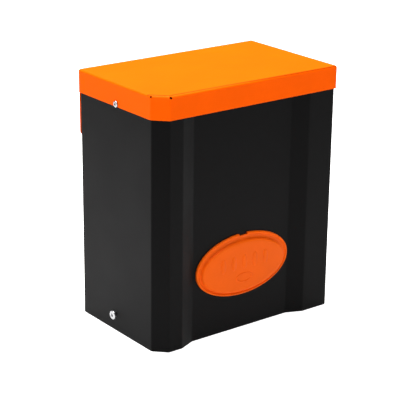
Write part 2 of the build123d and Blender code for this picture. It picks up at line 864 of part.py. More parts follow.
def worm_wheel():
    wheel = Rot(90, 0, 0) * Cylinder(wheel_tip_radius, wheel_face)
    gap = tooth_gap()
    wheel -= [Rot(0, 360 * k / wheel_teeth, 0) * gap for k in range(wheel_teeth)]
    rim, hub = wheel_root_radius - wheel_rim, dog_outer_radius + wheel_hub_wall
    for side in (-1, 1):
        y = side * (wheel_face - wheel_dish) / 2
        wheel -= Pos(0, y, 0) * Rot(90, 0, 0) * (Cylinder(rim, wheel_dish) - Cylinder(hub, wheel_dish))
    wheel -= Rot(90, 0, 0) * Cylinder(shaft_radius + running_gap, wheel_face)
    wheel = Pos(output_x, wheel_y, output_z) * wheel
    pocket_front = wheel_back - dog_length + clutch_face_gap - dog_clearance
    pockets = dog_ring(pocket_front, wheel_back + 1, dog_clearance)
    return wheel - pockets


def dog_ring(y0, y1, clearance=0.0):
    """The clutch's dogs, or with a clearance the pockets that they drop into."""
    r0, r1 = dog_inner_radius - clearance, dog_outer_radius + clearance
    spread = dog_angle / 2 + degrees(clearance / r0)
    edge = 2 * r1
    wedge = make_face(Polyline(
        (0, 0), (edge * cos(radians(spread)), edge * sin(radians(spread))),
        (edge * cos(radians(spread)), -edge * sin(radians(spread))), close=True,
    ))
    ring = make_face(CenterArc((0, 0), r1, 0, 360)) - make_face(CenterArc((0, 0), r0, 0, 360))
    sector = extrude(ring & wedge, amount=y1 - y0)
    place = Pos(output_x, y0, output_z) * Rot(-90, 0, 0)
    return [place * Rot(0, 0, 45 + 360 * k / dog_count) * sector for k in range(dog_count)]


def clutch_ring():
    ring = on_output(clutch_front, clutch_front + clutch_length, clutch_radius)
    ring -= on_output(clutch_front - 1, clutch_front + clutch_length + 1, shaft_radius + 2 * running_gap)
    ring += dog_ring(clutch_front - dog_length, clutch_front)
    reach = clutch_radius + 1.0
    return ring - bar_x(pin_y, output_z, output_x - reach, output_x + reach, cross_pin_radius)


def cross_pin():
    reach = clutch_radius - 1.0
    return bar_x(pin_y, output_z, output_x - reach, output_x + reach, cross_pin_radius)


def push_rod():
    rod = on_output(rod_front, rod_back(), push_rod_radius)
    rod = chamfer(rod.edges().sort_by(Axis.Y)[-1], 1.0)
    return rod - bar_x(pin_y, output_z, output_x - 10, output_x + 10, cross_pin_radius)


# ---- Worm shaft and motor -------------------------------------------------------------------

def worm_shaft():
    foot = worm_foot_z()
    core_low = foot + worm_foot_bearing_size[2] + 1.0
    core_high = worm_top_z
    shaft = post(0, 0, foot + 0.5, core_low, worm_foot_bearing_size[0] / 2)
    shaft += post(0, 0, core_low, core_high, worm_root_radius)
    shaft += post(0, 0, core_high, rotor_bearing_z(), worm_top_bearing_size[0] / 2)
    tail = rotor_bearing_z() + rotor_bearing_size[2]
    shaft += post(0, 0, rotor_bearing_z(), tail, rotor_bearing_size[0] / 2)
    return Pos(worm_x, wheel_y, 0) * (shaft + worm_thread())


def worm_thread():
    """One start of trapezoid thread, right hand, centred on the wheel's height."""
    slope = tan(radians(flank_angle))
    start = output_z - worm_turns / 2 * axial_pitch
    low, high = worm_root_radius - 0.6, worm_tip_radius
    foot = thread_thickness / 2 + (worm_pitch_radius - low) * slope
    crest = thread_thickness / 2 - (high - worm_pitch_radius) * slope
    corners = [(low, -foot), (high, -crest), (high, crest), (low, foot)]
    section = make_face(Plane.XZ * Polyline(*corners, close=True))
    path = Helix(axial_pitch, worm_turns * axial_pitch, worm_pitch_radius)
    return Pos(0, 0, start) * sweep(section, path=path, is_frenet=True)


def rotor_bearing_z():
    return motor_top - bell_floor - rotor_bearing_size[2] + 5.0


def rotor_core():
    radius = stator_bore_radius - rotor_gap
    core = post(worm_x, wheel_y, bell_top, stator_top, radius)
    core += post(worm_x, wheel_y, bell_top - end_ring_height, stator_top + end_ring_height, radius - 2)
    return core - post(worm_x, wheel_y, bell_top - 20, stator_top + 20, worm_top_bearing_size[0] / 2)


def motor_square(z0, z1):
    """A motor part's outline: a square with round corners."""
    return Pos(worm_x, wheel_y, z0) * extrude(
        RectangleRounded(motor_side, motor_side, motor_corner), amount=z1 - z0
    )


def tie_rod_places():
    o = tie_rod_offset
    return [(worm_x + i * o, wheel_y + j * o) for i in (-1, 1) for j in (-1, 1)]


def reaches_case(x):
    """Whether a tie rod at x stands over the gear case, which is narrower than the motor."""
    return x > case_left + 2 * tie_rod_radius


def with_rod_holes(part, z0, z1):
    for x, y in tie_rod_places():
        part -= post(x, y, z0, z1, tie_rod_radius)
    return part


def motor_lower_bell():
    bell = motor_square(case_top_z, bell_top)
    bell -= post(worm_x, wheel_y, case_top_z + bell_floor, bell_top + 1, bell_bore_radius)
    bell -= post(worm_x, wheel_y, case_top_z - 1, bell_top, worm_top_bearing_size[0] / 2 + 4)
    return with_rod_holes(bell, case_top_z - 1, bell_top + 1)


def stator_core():
    stack = motor_square(bell_top, stator_top)
    stack -= post(worm_x, wheel_y, bell_top - 1, stator_top + 1, stator_bore_radius)
    return with_rod_holes(stack, bell_top - 1, stator_top + 1)


def motor_windings():
    """The coil ends above and below the laminations."""
    parts = []
    for z in (bell_top - winding_gap - winding_height, stator_top + winding_gap):
        ring = post(worm_x, wheel_y, z, z + winding_height, winding_outer_radius)
        ring -= post(worm_x, wheel_y, z - 1, z + winding_height + 1, winding_inner_radius)
        parts.append(fillet(ring.edges(), 3.5))
    return group(*parts)


def motor_top_bell():
    bell = motor_square(stator_top, motor_top)
    bell = fillet(bell.edges().group_by(Axis.Z)[-1], 6.0)
    bell -= post(worm_x, wheel_y, stator_top - 1, motor_top - bell_floor, bell_bore_radius)
    z = rotor_bearing_z()
    bell += post(worm_x, wheel_y, z, motor_top - 1, rotor_bearing_size[1] / 2 + 5)
    bell -= post(worm_x, wheel_y, z - 1, z + rotor_bearing_size[2] + 1, rotor_bearing_size[1] / 2)
    bell -= bar_x(wheel_y, motor_lead_z(), worm_x + 45, worm_x + 60, lead_hole_radius)
    return with_rod_holes(bell, stator_top - 1, motor_top + 1)


def motor_lead_z():
    return stator_top + top_bell_height / 2


def tie_rods():
    """Four long screws that clamp the motor to the gear case."""
    parts = []
    for x, y in tie_rod_places():
        bottom = case_top_z - rod_thread + 1.0 if reaches_case(x) else case_top_z
        parts.append(Pos(x, y, motor_top) * screw(tie_rod_head, motor_top - bottom, 0.5))
    return group(*parts)


# ---- Release --------------------------------------------------------------------------------

def release_cap():
    a, b = cap_half_width, cap_half_height
    seat = panel_y
    lip = seat - cap_lip_thickness
    cap = oval_bar(lip, seat, a, b)
    cap = fillet(cap.edges().group_by(Axis.Y)[0], 1.2)
    cap -= oval_bar(lip - 1, seat - cap_groove_floor, a - cap_rim, b - cap_rim)
    face = oval_bar(lip - cap_face_rise, seat, a - cap_face_inset, b - cap_face_inset, cap_face_drop)
    cap += fillet(face.edges().group_by(Axis.Y)[0], 1.5)
    sa, sb = a - cap_skirt_inset, b - cap_skirt_inset
    cap += oval_bar(seat, seat + cap_skirt_depth, sa, sb)
    cap -= oval_bar(seat - 1.0, seat + cap_skirt_depth + 1, sa - cap_wall, sb - cap_wall)
    top = output_z + b
    notch = block(
        output_x - cap_notch_width / 2, output_x + cap_notch_width / 2,
        lip - 1, seat + 1, top - cap_notch_depth, top + 1,
    )
    return cap - notch


def release_tray():
    """The black pocket behind the cap, with a round hole for the release bush."""
    a, b = cap_opening()
    y0, y1 = panel_y + sheet, panel_y + sheet + tray_depth
    wall = tray_wall
    tray = oval_bar(y0, y0 + wall, a + tray_flange, b + tray_flange) + oval_bar(y0, y1, a + wall, b + wall)
    tray -= oval_bar(y0 - 1, y1 - wall, a, b)
    return tray - on_output(y0, y1 + 1, tray_hole_radius)


def bush_screw_places():
    r = (bush_radius + bush_flange_radius) / 2
    return [(output_x + r * cos(radians(t)), output_z + r * sin(radians(t))) for t in (90, 210, 330)]


def release_bush():
    """The threaded bush on the gear case's cover that the release spindle turns in."""
    bush = on_output(bush_front, cover_front, bush_radius)
    bush += on_output(cover_front - bush_flange, cover_front, bush_flange_radius)
    bush -= on_output(bush_front - 1, cover_front + 1, spindle_radius + running_gap)
    for x, z in bush_screw_places():
        bush -= bar_y(x, z, cover_front - bush_flange - 1, cover_front + 1, small_screw[0])
    return bush


def bush_screws():
    one = Rot(90, 0, 0) * screw(small_screw, bush_flange + 5.0)
    return [Pos(x, cover_front - bush_flange, z) * one for x, z in bush_screw_places()]


def release_knob():
    """The winged knob with its spindle."""
    knob = on_output(knob_front, knob_back, knob_radius)
    wing = block(
        output_x - knob_wing_length / 2, output_x + knob_wing_length / 2, knob_front, knob_back,
        output_z - knob_wing_width / 2, output_z + knob_wing_width / 2,
    )
    wing = fillet(wing.edges().filter_by(Axis.Y), knob_wing_width / 2 - 0.1)
    knob += wing
    knob = fillet(knob.edges().group_by(Axis.Y)[0], 1.5)
    knob += on_output(knob_back, pad_front, spindle_radius)
    return knob


def thrust_pad():
    """The pad on the spindle's end, which presses the push rod in."""
    return on_output(pad_front, pad_front + pad_length, pad_radius)


# ---- Electronics ----------------------------------------------------------------------------

def bracket_screw_places():
    y = bracket_y - sheet + bracket_foot_depth / 2
    return [(bracket_foot_left + bracket_screw_inset, y), (bracket_right - bracket_screw_inset, y)]


def board_bracket():
    y0, y1 = bracket_y - sheet, bracket_y
    plate = block(bracket_foot_left, bracket_right, y0, y1, base_thickness, bracket_shoulder_z + 6)
    plate += block(bracket_left, bracket_right, y0, y1, bracket_shoulder_z, bracket_top)
    foot_top = base_thickness + sheet
    plate += block(bracket_foot_left, bracket_right, y0, y0 + bracket_foot_depth, base_thickness, foot_top)
    edge = bracket_right - sheet
    plate += block(edge, bracket_right, y0, y0 + bracket_stiffener, base_thickness, bracket_top)
    for x, y in bracket_screw_places():
        plate -= post(x, y, base_thickness - 1, base_thickness + 2 * sheet, panel_screw[0])
    for x, z in standoff_places():
        plate -= bar_y(x, z, y0 - 1, y1 + 1, small_screw[0])
    return plate


def bracket_screws():
    one = screw(panel_screw, base_thickness + sheet - 0.5)
    return group(*[Pos(x, y, base_thickness + sheet) * one for x, y in bracket_screw_places()])


def standoff_places():
    xs = (board_left + standoff_inset, board_right - standoff_inset)
    zs = (board_bottom + standoff_inset, board_top - standoff_inset)
    return [(x, z) for x in xs for z in zs]


def board_standoffs():
    return group(*[
        bar_y(x, z, board_back, bracket_y - sheet, standoff_radius)
        - bar_y(x, z, board_back - 1, bracket_y, small_screw[0])
        for x, z in standoff_places()
    ])


def board_screws():
    one = Rot(90, 0, 0) * screw(small_screw, board_thickness + standoff_length + sheet + 1.0)
    return [Pos(x, board_face, z) * one for x, z in standoff_places()]


def control_board():
    board = block(board_left, board_right, board_face, board_back, board_bottom, board_top)
    board = fillet(board.edges().filter_by(Axis.Y), 3.0)
    for x, z in standoff_places():
        board -= bar_y(x, z, board_face - 1, board_back + 1, small_screw[0])
    return board


def on_board(x, z, width, height, depth):
    """A block on the board's face; x and z are from its lower left corner."""
    x0, z0 = board_left + x, board_bottom + z
    return block(x0, x0 + width, board_face - depth, board_face, z0, z0 + height)


def terminal_blocks():
    """Three rows of screw terminals along the board's lower edge."""
    blocks = []
    height, depth = terminal_size
    low = board_bottom + terminal_rise
    for start in terminal_starts:
        body = on_board(start, terminal_rise, terminal_pitch * terminal_ways, height, depth)
        for way in range(terminal_ways):
            x = board_left + start + terminal_pitch * (way + 0.5)
            body -= bar_y(x, low + 6.0, board_face - depth - 1, board_face - depth + 3, 1.7)
            body -= block(x - 1.6, x + 1.6, board_face - 8, board_face - 3, low - 1, low + 4)
        blocks.append(body)
    return group(*blocks)


def board_relays():
    return group(*[on_board(x, relay_row, *relay_size) for x in relay_starts])


def board_transformer():
    """The board's supply transformer: bobbin, core and two coils' tape."""
    core = on_board(14.0, 96.0, 36.0, 30.0, 26.0)
    wound = on_board(18.0, 91.0, 28.0, 40.0, 20.0) - core
    return group(core, wound)


def board_capacitors():
    """Electrolytic cans standing off the board."""
    cans = []
    for x, z, radius, length in can_spots:
        can = bar_y(board_left + x, board_bottom + z, board_face - length, board_face, radius)
        cans.append(fillet(can.edges().group_by(Axis.Y)[0], 1.0))
    return group(*cans)


def board_chips():
    """Processor, memory, radio module and driver packages."""
    return group(*[on_board(*spot) for spot in chip_spots])


def fuse_holder():
    base = on_board(84.0, 46.0, 24.0, 9.0, 4.0)
    y, z = board_face - 6.5, board_bottom + 50.5
    tube = bar_x(y, z, board_left + 85.0, board_left + 107.0, 2.6)
    return group(base - tube, tube)


def switch_places():
    return [(board_left + x, board_bottom + switch_row) for x in switch_starts]


def button_switches():
    """The bodies of the two push-button switches."""
    half = switch_side / 2
    bodies = []
    for x, z in switch_places():
        body = block(x - half, x + half, board_face - switch_height, board_face, z - half, z + half)
        bodies.append(body - bar_y(x, z, board_face - switch_height - 1, board_face - 1, button_radius + 0.1))
    return group(*bodies)


def push_button(index):
    x, z = switch_places()[index]
    y = board_face - switch_height
    return bar_y(x, z, y - button_height, y + switch_height - 1 - button_travel - 0.2, button_radius)


def run_capacitor():
    """The motor's run capacitor, standing behind the bracket, with its two terminals."""
    x, y = capacitor_place()
    z0 = base_thickness + capacitor_rise
    z1 = z0 + capacitor_length
    can = post(x, y, z0, z1, capacitor_radius)
    can = fillet(can.edges().group_by(Axis.Z)[-1], 1.5)
    tabs = [block(x + side - 0.4, x + side + 0.4, y - 3, y + 3, z1, z1 + 9) for side in (-7, 7)]
    return group(can, *tabs)


def capacitor_place():
    return ((bracket_foot_left + bracket_right) / 2, bracket_y + capacitor_radius + 4.0)


def capacitor_clip():
    """A steel strap round the capacitor, on the bracket's back."""
    x, y = capacitor_place()
    z0 = base_thickness + capacitor_rise + clip_rise
    z1 = z0 + clip_height
    outer = capacitor_radius + sheet
    ear = outer + clip_ear
    strap = post(x, y, z0, z1, outer) + block(x - outer, x + outer, bracket_y, y, z0, z1)
    strap += block(x - ear, x + ear, bracket_y, bracket_y + sheet, z0, z1)
    strap -= post(x, y, z0 - 1, z1 + 1, capacitor_radius)
    return strap - block(
        x - capacitor_radius + 2, x + capacitor_radius - 2, bracket_y + sheet, y - 4, z0 - 1, z1 + 1
    )


def limit_sensor():
    """The magnetic limit sensor on the rear panel, above the pinion."""
    half = sensor_width / 2
    y0, y1 = back - sheet, back - sheet + sensor_depth
    body = block(output_x - half, output_x + half, y0, y1, sensor_z, sensor_z + sensor_height)
    body = fillet(body.edges().filter_by(Axis.Y), 4.0)
    body = fillet(body.edges().group_by(Axis.Y)[-1], 1.5)
    for x, z in sensor_screw_places():
        body -= bar_y(x, z, back - 2 * sheet, back + sensor_depth, small_screw[0])
        body -= bar_y(x, z, back - sheet + sensor_seat, back + sensor_depth, small_screw[1] + 0.3)
    return body


def sensor_screw_places():
    reach = sensor_width / 2 - sensor_screw_inset
    return [(output_x + side * reach, sensor_z + sensor_height / 2) for side in (-1, 1)]


def sensor_screws():
    one = Rot(-90, 0, 0) * screw(small_screw, sensor_seat + sheet + 1.5)
    return [Pos(x, back - sheet + sensor_seat, z) * one for x, z in sensor_screw_places()]


def small_screws():
    """The M3 screws: those of the board, the release bush and the limit sensor."""
    return group(*board_screws(), *bush_screws(), *sensor_screws())


def clutch_spring():
    """The spring that holds the push rod forward, drawn at its pressed length."""
    coils, start = spring_coils, rod_back() + release_travel + 0.3
    pitch = 2 * spring_wire_radius + coil_gap
    radius = push_rod_radius + rod_gap - spring_wire_radius - 0.3
    path = Helix(pitch, coils * pitch, radius)
    wire = sweep(Plane(path @ 0, z_dir=path % 0) * Circle(spring_wire_radius), path=path, is_frenet=True)
    return Pos(output_x, start + spring_wire_radius, output_z) * Rot(-90, 0, 0) * wire


NODES = {
    "housing_shell": housing_shell,
    "rear_panel": rear_panel,
    "panel_screws": panel_screws,
    "lid_gasket": lid_gasket,
    "side_screws": side_screws,
    "lid_screws": lid_screws,
    "rivet_nuts": lambda: group(*side_nuts(), *lid_nuts()),
    "lid": lid,
    "base_plate": base_plate,
    "cable_grommet": cable_grommet,
    "gear_case": gear_case,
    "oil_plug": oil_plug,
    "gear_case_cover": gear_case_cover,
    "cover_bolts": cover_bolts,
    "foot_bolts": foot_bolts,
    "shaft_seal": shaft_seal,
    "front_bearing": lambda: bearing_on_y(front_bearing_size, cavity_front),
    "rear_bearing": lambda: bearing_on_y(rear_bearing_size, rear_bearing_front),
    "worm_foot_bearing": lambda: bearing_on_z(worm_foot_bearing_size, worm_foot_z()),
    "worm_top_bearing": lambda: bearing_on_z(worm_top_bearing_size, worm_top_z),
    "rotor_bearing": lambda: bearing_on_z(rotor_bearing_size, rotor_bearing_z()),
    "output_shaft": output_shaft,
    "pinion_key": pinion_key,
    "pinion": pinion,
    "pinion_spacer": pinion_spacer,
    "pinion_bolt": pinion_bolt,
    "worm_wheel": worm_wheel,
    "clutch_ring": clutch_ring,
    "cross_pin": cross_pin,
    "push_rod": push_rod,
    "worm_shaft": worm_shaft,
    "rotor_core": rotor_core,
    "motor_lower_bell": motor_lower_bell,
    "stator_core": stator_core,
    "motor_windings": motor_windings,
    "motor_top_bell": motor_top_bell,
    "tie_rods": tie_rods,
    "release_cap": release_cap,
    "release_tray": release_tray,
    "release_bush": release_bush,
    "release_knob": release_knob,
    "thrust_pad": thrust_pad,
    "board_bracket": board_bracket,
    "bracket_screws": bracket_screws,
    "board_standoffs": board_standoffs,
    "control_board": control_board,
    "terminal_blocks": terminal_blocks,
    "board_relays": board_relays,
    "board_transformer": board_transformer,
    "board_capacitors": board_capacitors,
    "board_chips": board_chips,
    "fuse_holder": fuse_holder,
    "button_switches": button_switches,
    "learn_button": lambda: push_button(0),
    "test_button": lambda: push_button(1),
    "run_capacitor": run_capacitor,
    "capacitor_clip": capacitor_clip,
    "limit_sensor": limit_sensor,
    "small_screws": small_screws,
    "clutch_spring": clutch_spring,
}


def main():
    os.makedirs("parts", exist_ok=True)
    for name, make in NODES.items():
        export_step(make(), f"parts/{name}.step")


if __name__ == "__main__":
    main()
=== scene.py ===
from math import cos, pi, radians, sin

import bmesh
import bpy
from bpy.props import FloatProperty, FloatVectorProperty, IntProperty, PointerProperty
from bpy.types import Operator, Panel, PropertyGroup
from mathutils import Matrix, Vector


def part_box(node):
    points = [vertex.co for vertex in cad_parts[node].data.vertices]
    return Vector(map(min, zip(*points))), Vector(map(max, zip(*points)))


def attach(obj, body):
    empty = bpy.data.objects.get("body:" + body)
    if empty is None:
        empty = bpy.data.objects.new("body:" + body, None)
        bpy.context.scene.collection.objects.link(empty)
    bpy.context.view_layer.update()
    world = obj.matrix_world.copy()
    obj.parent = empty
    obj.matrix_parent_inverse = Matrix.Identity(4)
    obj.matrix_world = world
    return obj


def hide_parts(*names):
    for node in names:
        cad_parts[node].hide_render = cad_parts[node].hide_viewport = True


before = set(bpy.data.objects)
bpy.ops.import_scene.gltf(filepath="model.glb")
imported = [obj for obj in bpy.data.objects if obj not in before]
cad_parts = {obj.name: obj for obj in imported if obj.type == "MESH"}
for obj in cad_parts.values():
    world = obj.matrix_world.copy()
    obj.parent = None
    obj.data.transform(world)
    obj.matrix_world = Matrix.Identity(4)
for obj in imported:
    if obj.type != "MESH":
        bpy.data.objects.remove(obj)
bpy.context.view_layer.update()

bl_info = {
    "name": "Sliding Gate Operator",
    "version": (1, 0, 0),
    "blender": (4, 5, 0),
    "location": "View3D > Sidebar > Gate Operator",
    "description": "Finishes and fine pieces for a sliding gate operator in a folded steel housing",
    "category": "Object",
}

MM = 0.001
HOUSING = "housing_body"
LID_CORNER = 0.0182  # how far the cut corner runs back along the lid's sides

# The cap's rings in millimetres: how far in from the edge, how far the surface stands out, how far it drops
CAP_FRONT = (
    (0.0, 0.0, 0.0), (0.0, 1.3, 0.0), (0.3, 2.3, 0.0), (0.9, 3.0, 0.0), (1.8, 3.2, 0.0), (2.6, 2.9, 0.0),
    (3.1, 2.1, 0.0), (3.7, 1.5, 0.1), (4.6, 1.3, 0.5), (7.5, 1.4, 2.4), (7.9, 1.9, 2.5), (8.1, 3.8, 2.5),
    (8.6, 4.9, 2.5), (9.6, 5.5, 2.5), (12.0, 5.8, 2.4), (18.0, 6.0, 2.0), (27.0, 6.15, 1.4), (36.0, 6.2, 0.8),
    (43.5, 6.2, 0.0),
)
CAP_BACK = (
    (7.0, 0.0, 0.0), (7.0, -12.0, 0.0), (9.0, -12.0, 0.0), (9.0, 0.2, 0.0), (20.0, 2.8, 0.0),
    (43.5, 3.2, 0.0),
)
CAP_SKIRT = 0.012  # depth of the skirt behind the front panel
CAP_FACE = 0.0062  # how far the face stands out of the front panel
CAP_STEPS = 192
RIB_HEIGHT = 0.0026
RIBS_ABOVE_CENTRE = 0.0045
BEAD_RADII = (0.0135, 0.0062)
BEAD_HEIGHT = 0.0009
BEAD_ROLL = 0.09  # half the bead's width, as a share of its radii
BEAD_BELOW_CENTRE = 0.0185
COIL_END = 0.014  # height of the coil ends
COIL_GAP = 0.003  # between the stator's bore and the coils
ROTOR_GAP = 0.0005
TERMINAL_SCREW = (0.0015, 0.001)  # radius and thickness
TERMINAL_WELL = (0.0025, 0.0025, 0.006)  # from the first block's lowest corner to its first screw
KNOB_RIDGES = 4
KNOB_RIDGE_PITCH = 0.0036
KNOB_RIDGE = (0.0016, 0.0012, 0.0104)

cap_low, cap_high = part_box("release_cap")
shaft_low, shaft_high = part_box("output_shaft")
winding_low, winding_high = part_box("motor_windings")
board_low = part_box("control_board")[0]
stator_low, stator_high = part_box("stator_core")
axis_x, axis_z = (shaft_low[0] + shaft_high[0]) / 2, (shaft_low[2] + shaft_high[2]) / 2
motor_x, motor_y = (stator_low[0] + stator_high[0]) / 2, (stator_low[1] + stator_high[1]) / 2


def colour(name, description, default):
    """A colour property."""
    return FloatVectorProperty(
        name=name, description=description, subtype="COLOR", size=3, min=0.0, max=1.0, default=default
    )


def size(name, description, default):
    """A length property, in metres."""
    return FloatProperty(
        name=name, description=description, unit="LENGTH", min=0.0, precision=4, default=default
    )


def factor(name, description, default, top=1.0):
    """A plain number property."""
    return FloatProperty(name=name, description=description, min=0.0, max=top, default=default)


class GateStage(PropertyGroup):
    """The camera, the lights and the floor."""

    distance: size("Distance", "From the camera to the point it looks at", 2.030)
    azimuth: FloatProperty(
        name="Azimuth", description="Way the camera looks, turned from +Y", subtype="ANGLE",
        default=radians(-37.372),
    )
    elevation: FloatProperty(
        name="Elevation", description="Height of the camera above the horizon", subtype="ANGLE",
        default=radians(19.399),
    )
    roll: FloatProperty(
        name="Roll", description="Tilt of the camera", subtype="ANGLE", default=radians(0.647)
    )
    aim: FloatVectorProperty(
        name="Aim", description="Point that the camera looks at", subtype="XYZ", size=3,
        default=(-0.0127, 0.0, 0.168),
    )
    lens: FloatProperty(name="Lens", description="Focal length in millimetres", default=130.0)
    top_power: factor("Top light", "Power of the soft light above, in watts", 72.0, 500.0)
    left_power: factor("Left light", "Power of the soft light on the left, in watts", 9.0, 500.0)
    front_power: factor("Front light", "Power of the soft light in front, in watts", 9.5, 500.0)
    surround: factor("Surround", "Strength of the light from all round", 0.10, 5.0)
    glow: factor("Floor glow", "Light that the floor gives off all round", 0.42, 2.0)
    camera_glow: factor("Camera glow", "Light that the floor adds towards the camera", 0.52, 2.0)
    floor: colour("Floor", "Colour of the floor", (0.80, 0.80, 0.80))


class GateFinish(PropertyGroup):
    """Colours and surface detail."""

    lid: colour("Lid", "Powder coat of the lid", (0.92, 0.100, 0.0008))
    cap: colour("Cap", "Moulded plastic of the release cap", (0.80, 0.105, 0.003))
    housing: colour("Housing", "Powder coat of the housing", (0.0022, 0.0020, 0.0021))
    zinc: colour("Zinc", "Plating of the screws", (0.50, 0.50, 0.51))
    steel: colour("Steel", "Turned and cut steel", (0.45, 0.45, 0.46))
    cast: colour("Casting", "Die-cast aluminium", (0.52, 0.53, 0.54))
    bronze: colour("Bronze", "Worm wheel and bush", (0.58, 0.33, 0.12))
    copper: colour("Copper", "Enamelled winding wire", (0.48, 0.15, 0.04))
    board: colour("Board", "Solder mask of the control board", (0.006, 0.09, 0.03))
    grain: size("Grain", "Grain of the powder coat", 0.0012)
    wear: factor("Wear", "How far paint is rubbed along edges", 0.35)
    dust: factor("Dust", "Dust on upward faces", 0.12)


class GateDetail(PropertyGroup):
    """Sizes of the fine pieces."""

    turns: IntProperty(name="Turns", description="Bundles round each coil end", min=8, default=66)
    strand: size("Strand", "Thickness of a winding bundle", 0.0011)
    notch_width: size("Notch width", "Finger notch in the cap's rim", 0.0145)
    notch_depth: size("Notch depth", "How deep the notch is", 0.0034)
    ribs: IntProperty(name="Ribs", description="Raised ribs on the cap's face", min=1, default=5)
    rib_pitch: size("Rib pitch", "From one rib to the next", 0.0185)
    rib_length: size("Rib length", "Length of a rib", 0.021)
    rib_width: size("Rib width", "Width of a rib", 0.0085)
    resistor: size("Chip resistor", "Length of a chip resistor", 0.0022)


# ---- Shader tools --------------------------------------------------------------------------


class Nodes:
    """A node tree with short calls for adding, linking and setting nodes."""

    def __init__(self, tree):
        self.tree = tree

    def add(self, kind, values=None, **settings):
        node = self.tree.nodes.new(kind)
        for name, value in settings.items():
            setattr(node, name, value)
        for socket, value in (values or {}).items():
            self.put(value, node.inputs[socket])
        return node

    def put(self, value, socket):
        """Links an output to a socket, or sets the socket's own value."""
        if isinstance(value, bpy.types.NodeSocket):
            self.tree.links.new(value, socket)
        else:
            socket.default_value = value

    def maths(self, operation, a, b=0.0, clamp=False):
        return self.add("ShaderNodeMath", {0: a, 1: b}, operation=operation, use_clamp=clamp).outputs[0]

    def ramp(self, value, low, high, start=0.0, end=1.0):
        """Maps low..high to start..end, clamped."""
        values = {"Value": value, "From Min": low, "From Max": high, "To Min": start, "To Max": end}
        return self.add("ShaderNodeMapRange", values, interpolation_type="SMOOTHSTEP").outputs[0]

    def mix(self, mask, a, b):
        node = self.add("ShaderNodeMix", data_type="RGBA", clamp_factor=True)
        self.put(mask, node.inputs["Factor"])
        self.put(a, node.inputs["A"])
        self.put(b, node.inputs["B"])
        return node.outputs["Result"]

    def noise(self, where, scale, detail=3.0, rough=0.55):
        values = {"Vector": where, "Scale": scale, "Detail": detail, "Roughness": rough}
        return self.add("ShaderNodeTexNoise", values).outputs["Fac"]


def effect(name, inputs, output="Value"):
    """A new shader node group with number inputs; returns its tree tools, inputs and output."""
    tree = bpy.data.node_groups.new(name, "ShaderNodeTree")
    for label, default in inputs.items():
        socket = tree.interface.new_socket(label, in_out="INPUT", socket_type="NodeSocketFloat")
        socket.default_value = default
    tree.interface.new_socket(output, in_out="OUTPUT", socket_type="NodeSocketFloat")
    g = Nodes(tree)
    entry, leave = g.add("NodeGroupInput"), g.add("NodeGroupOutput")
    where = g.add("ShaderNodeTexCoord").outputs["Object"]
    return g, entry.outputs, leave.inputs[output], where


def make_mottle():
    """Slow, cloudy change over the surface."""
    g, given, out, where = effect("Mottle", {"Size": 0.06})
    scale = g.maths("DIVIDE", 1.0, given["Size"])
    g.put(g.ramp(g.noise(where, scale, 4.0), 0.3, 0.7), out)


def make_powder():
    """The fine orange peel of a powder coat, with larger cells under it."""
    g, given, out, where = effect("Powder grain", {"Size": 0.0012}, "Height")
    fine = g.noise(where, g.maths("DIVIDE", 1.0, given["Size"]), 2.0)
    cells = g.add("ShaderNodeTexVoronoi", {"Vector": where}, feature="SMOOTH_F1")
    g.put(g.maths("DIVIDE", 0.45, given["Size"]), cells.inputs["Scale"])
    coarse = g.maths("MULTIPLY", cells.outputs["Distance"], 0.5)
    g.put(g.maths("ADD", g.maths("MULTIPLY", fine, 0.6), coarse), out)


def make_wear_and_highlight():
    """Where an outer edge is rubbed, broken up by noise; on the lid the same mask carries a painted highlight
    along the edges.
    """
    g, given, out, where = effect("Edge wear and highlight", {"Radius": 0.0015, "Amount": 0.4}, "Mask")
    soft = g.add("ShaderNodeBevel", {"Radius": given["Radius"]}, samples=6)
    flat = g.add("ShaderNodeNewGeometry").outputs["Normal"]
    dot = g.add("ShaderNodeVectorMath", {0: soft.outputs[0], 1: flat}, operation="DOT_PRODUCT")
    edge = g.ramp(dot.outputs["Value"], 0.995, 0.88)
    patch = g.ramp(g.noise(where, 160.0, 5.0, 0.7), 0.52, 0.72)
    g.put(g.maths("MULTIPLY", g.maths("MULTIPLY", edge, patch), given["Amount"], True), out)


def make_dust():
    """Dust that lies on faces turned upwards."""
    g, given, out, where = effect("Dust", {"Amount": 0.2}, "Mask")
    normal = g.add("ShaderNodeNewGeometry").outputs["Normal"]
    up = g.add("ShaderNodeSeparateXYZ", {0: normal}).outputs["Z"]
    cloud = g.ramp(g.noise(where, 45.0, 6.0, 0.65), 0.35, 0.75)
    g.put(g.maths("MULTIPLY", g.maths("MULTIPLY", g.ramp(up, 0.3, 1.0), cloud), given["Amount"], True), out)


def make_scratches():
    """Thin, sparse handling scratches in several directions."""
    g, given, out, where = effect("Scratches", {"Amount": 0.4}, "Mask")
    total = None
    for turn in ((0.3, 0.9, 0.2), (1.1, 0.4, 1.7), (0.6, 1.8, 0.9)):
        place = g.add("ShaderNodeMapping", {"Vector": where, "Rotation": turn, "Scale": (420.0, 9.0, 9.0)})
        line = g.ramp(g.noise(place.outputs[0], 1.0, 2.0), 0.70, 0.76)
        total = line if total is None else g.maths("MAXIMUM", total, line)
    patch = g.ramp(g.noise(where, 26.0, 2.0), 0.5, 0.68)
    g.put(g.maths("MULTIPLY", g.maths("MULTIPLY", total, patch), given["Amount"], True), out)


def make_layers():
    """Level bands along Z, as in a stack of sheets."""
    g, given, out, where = effect("Layers", {"Pitch": 0.001}, "Height")
    z = g.add("ShaderNodeSeparateXYZ", {0: where}).outputs["Z"]
    step = g.maths("FRACT", g.maths("DIVIDE", z, given["Pitch"]))
    g.put(g.ramp(g.maths("ABSOLUTE", g.maths("SUBTRACT", step, 0.5)), 0.5, 0.35), out)


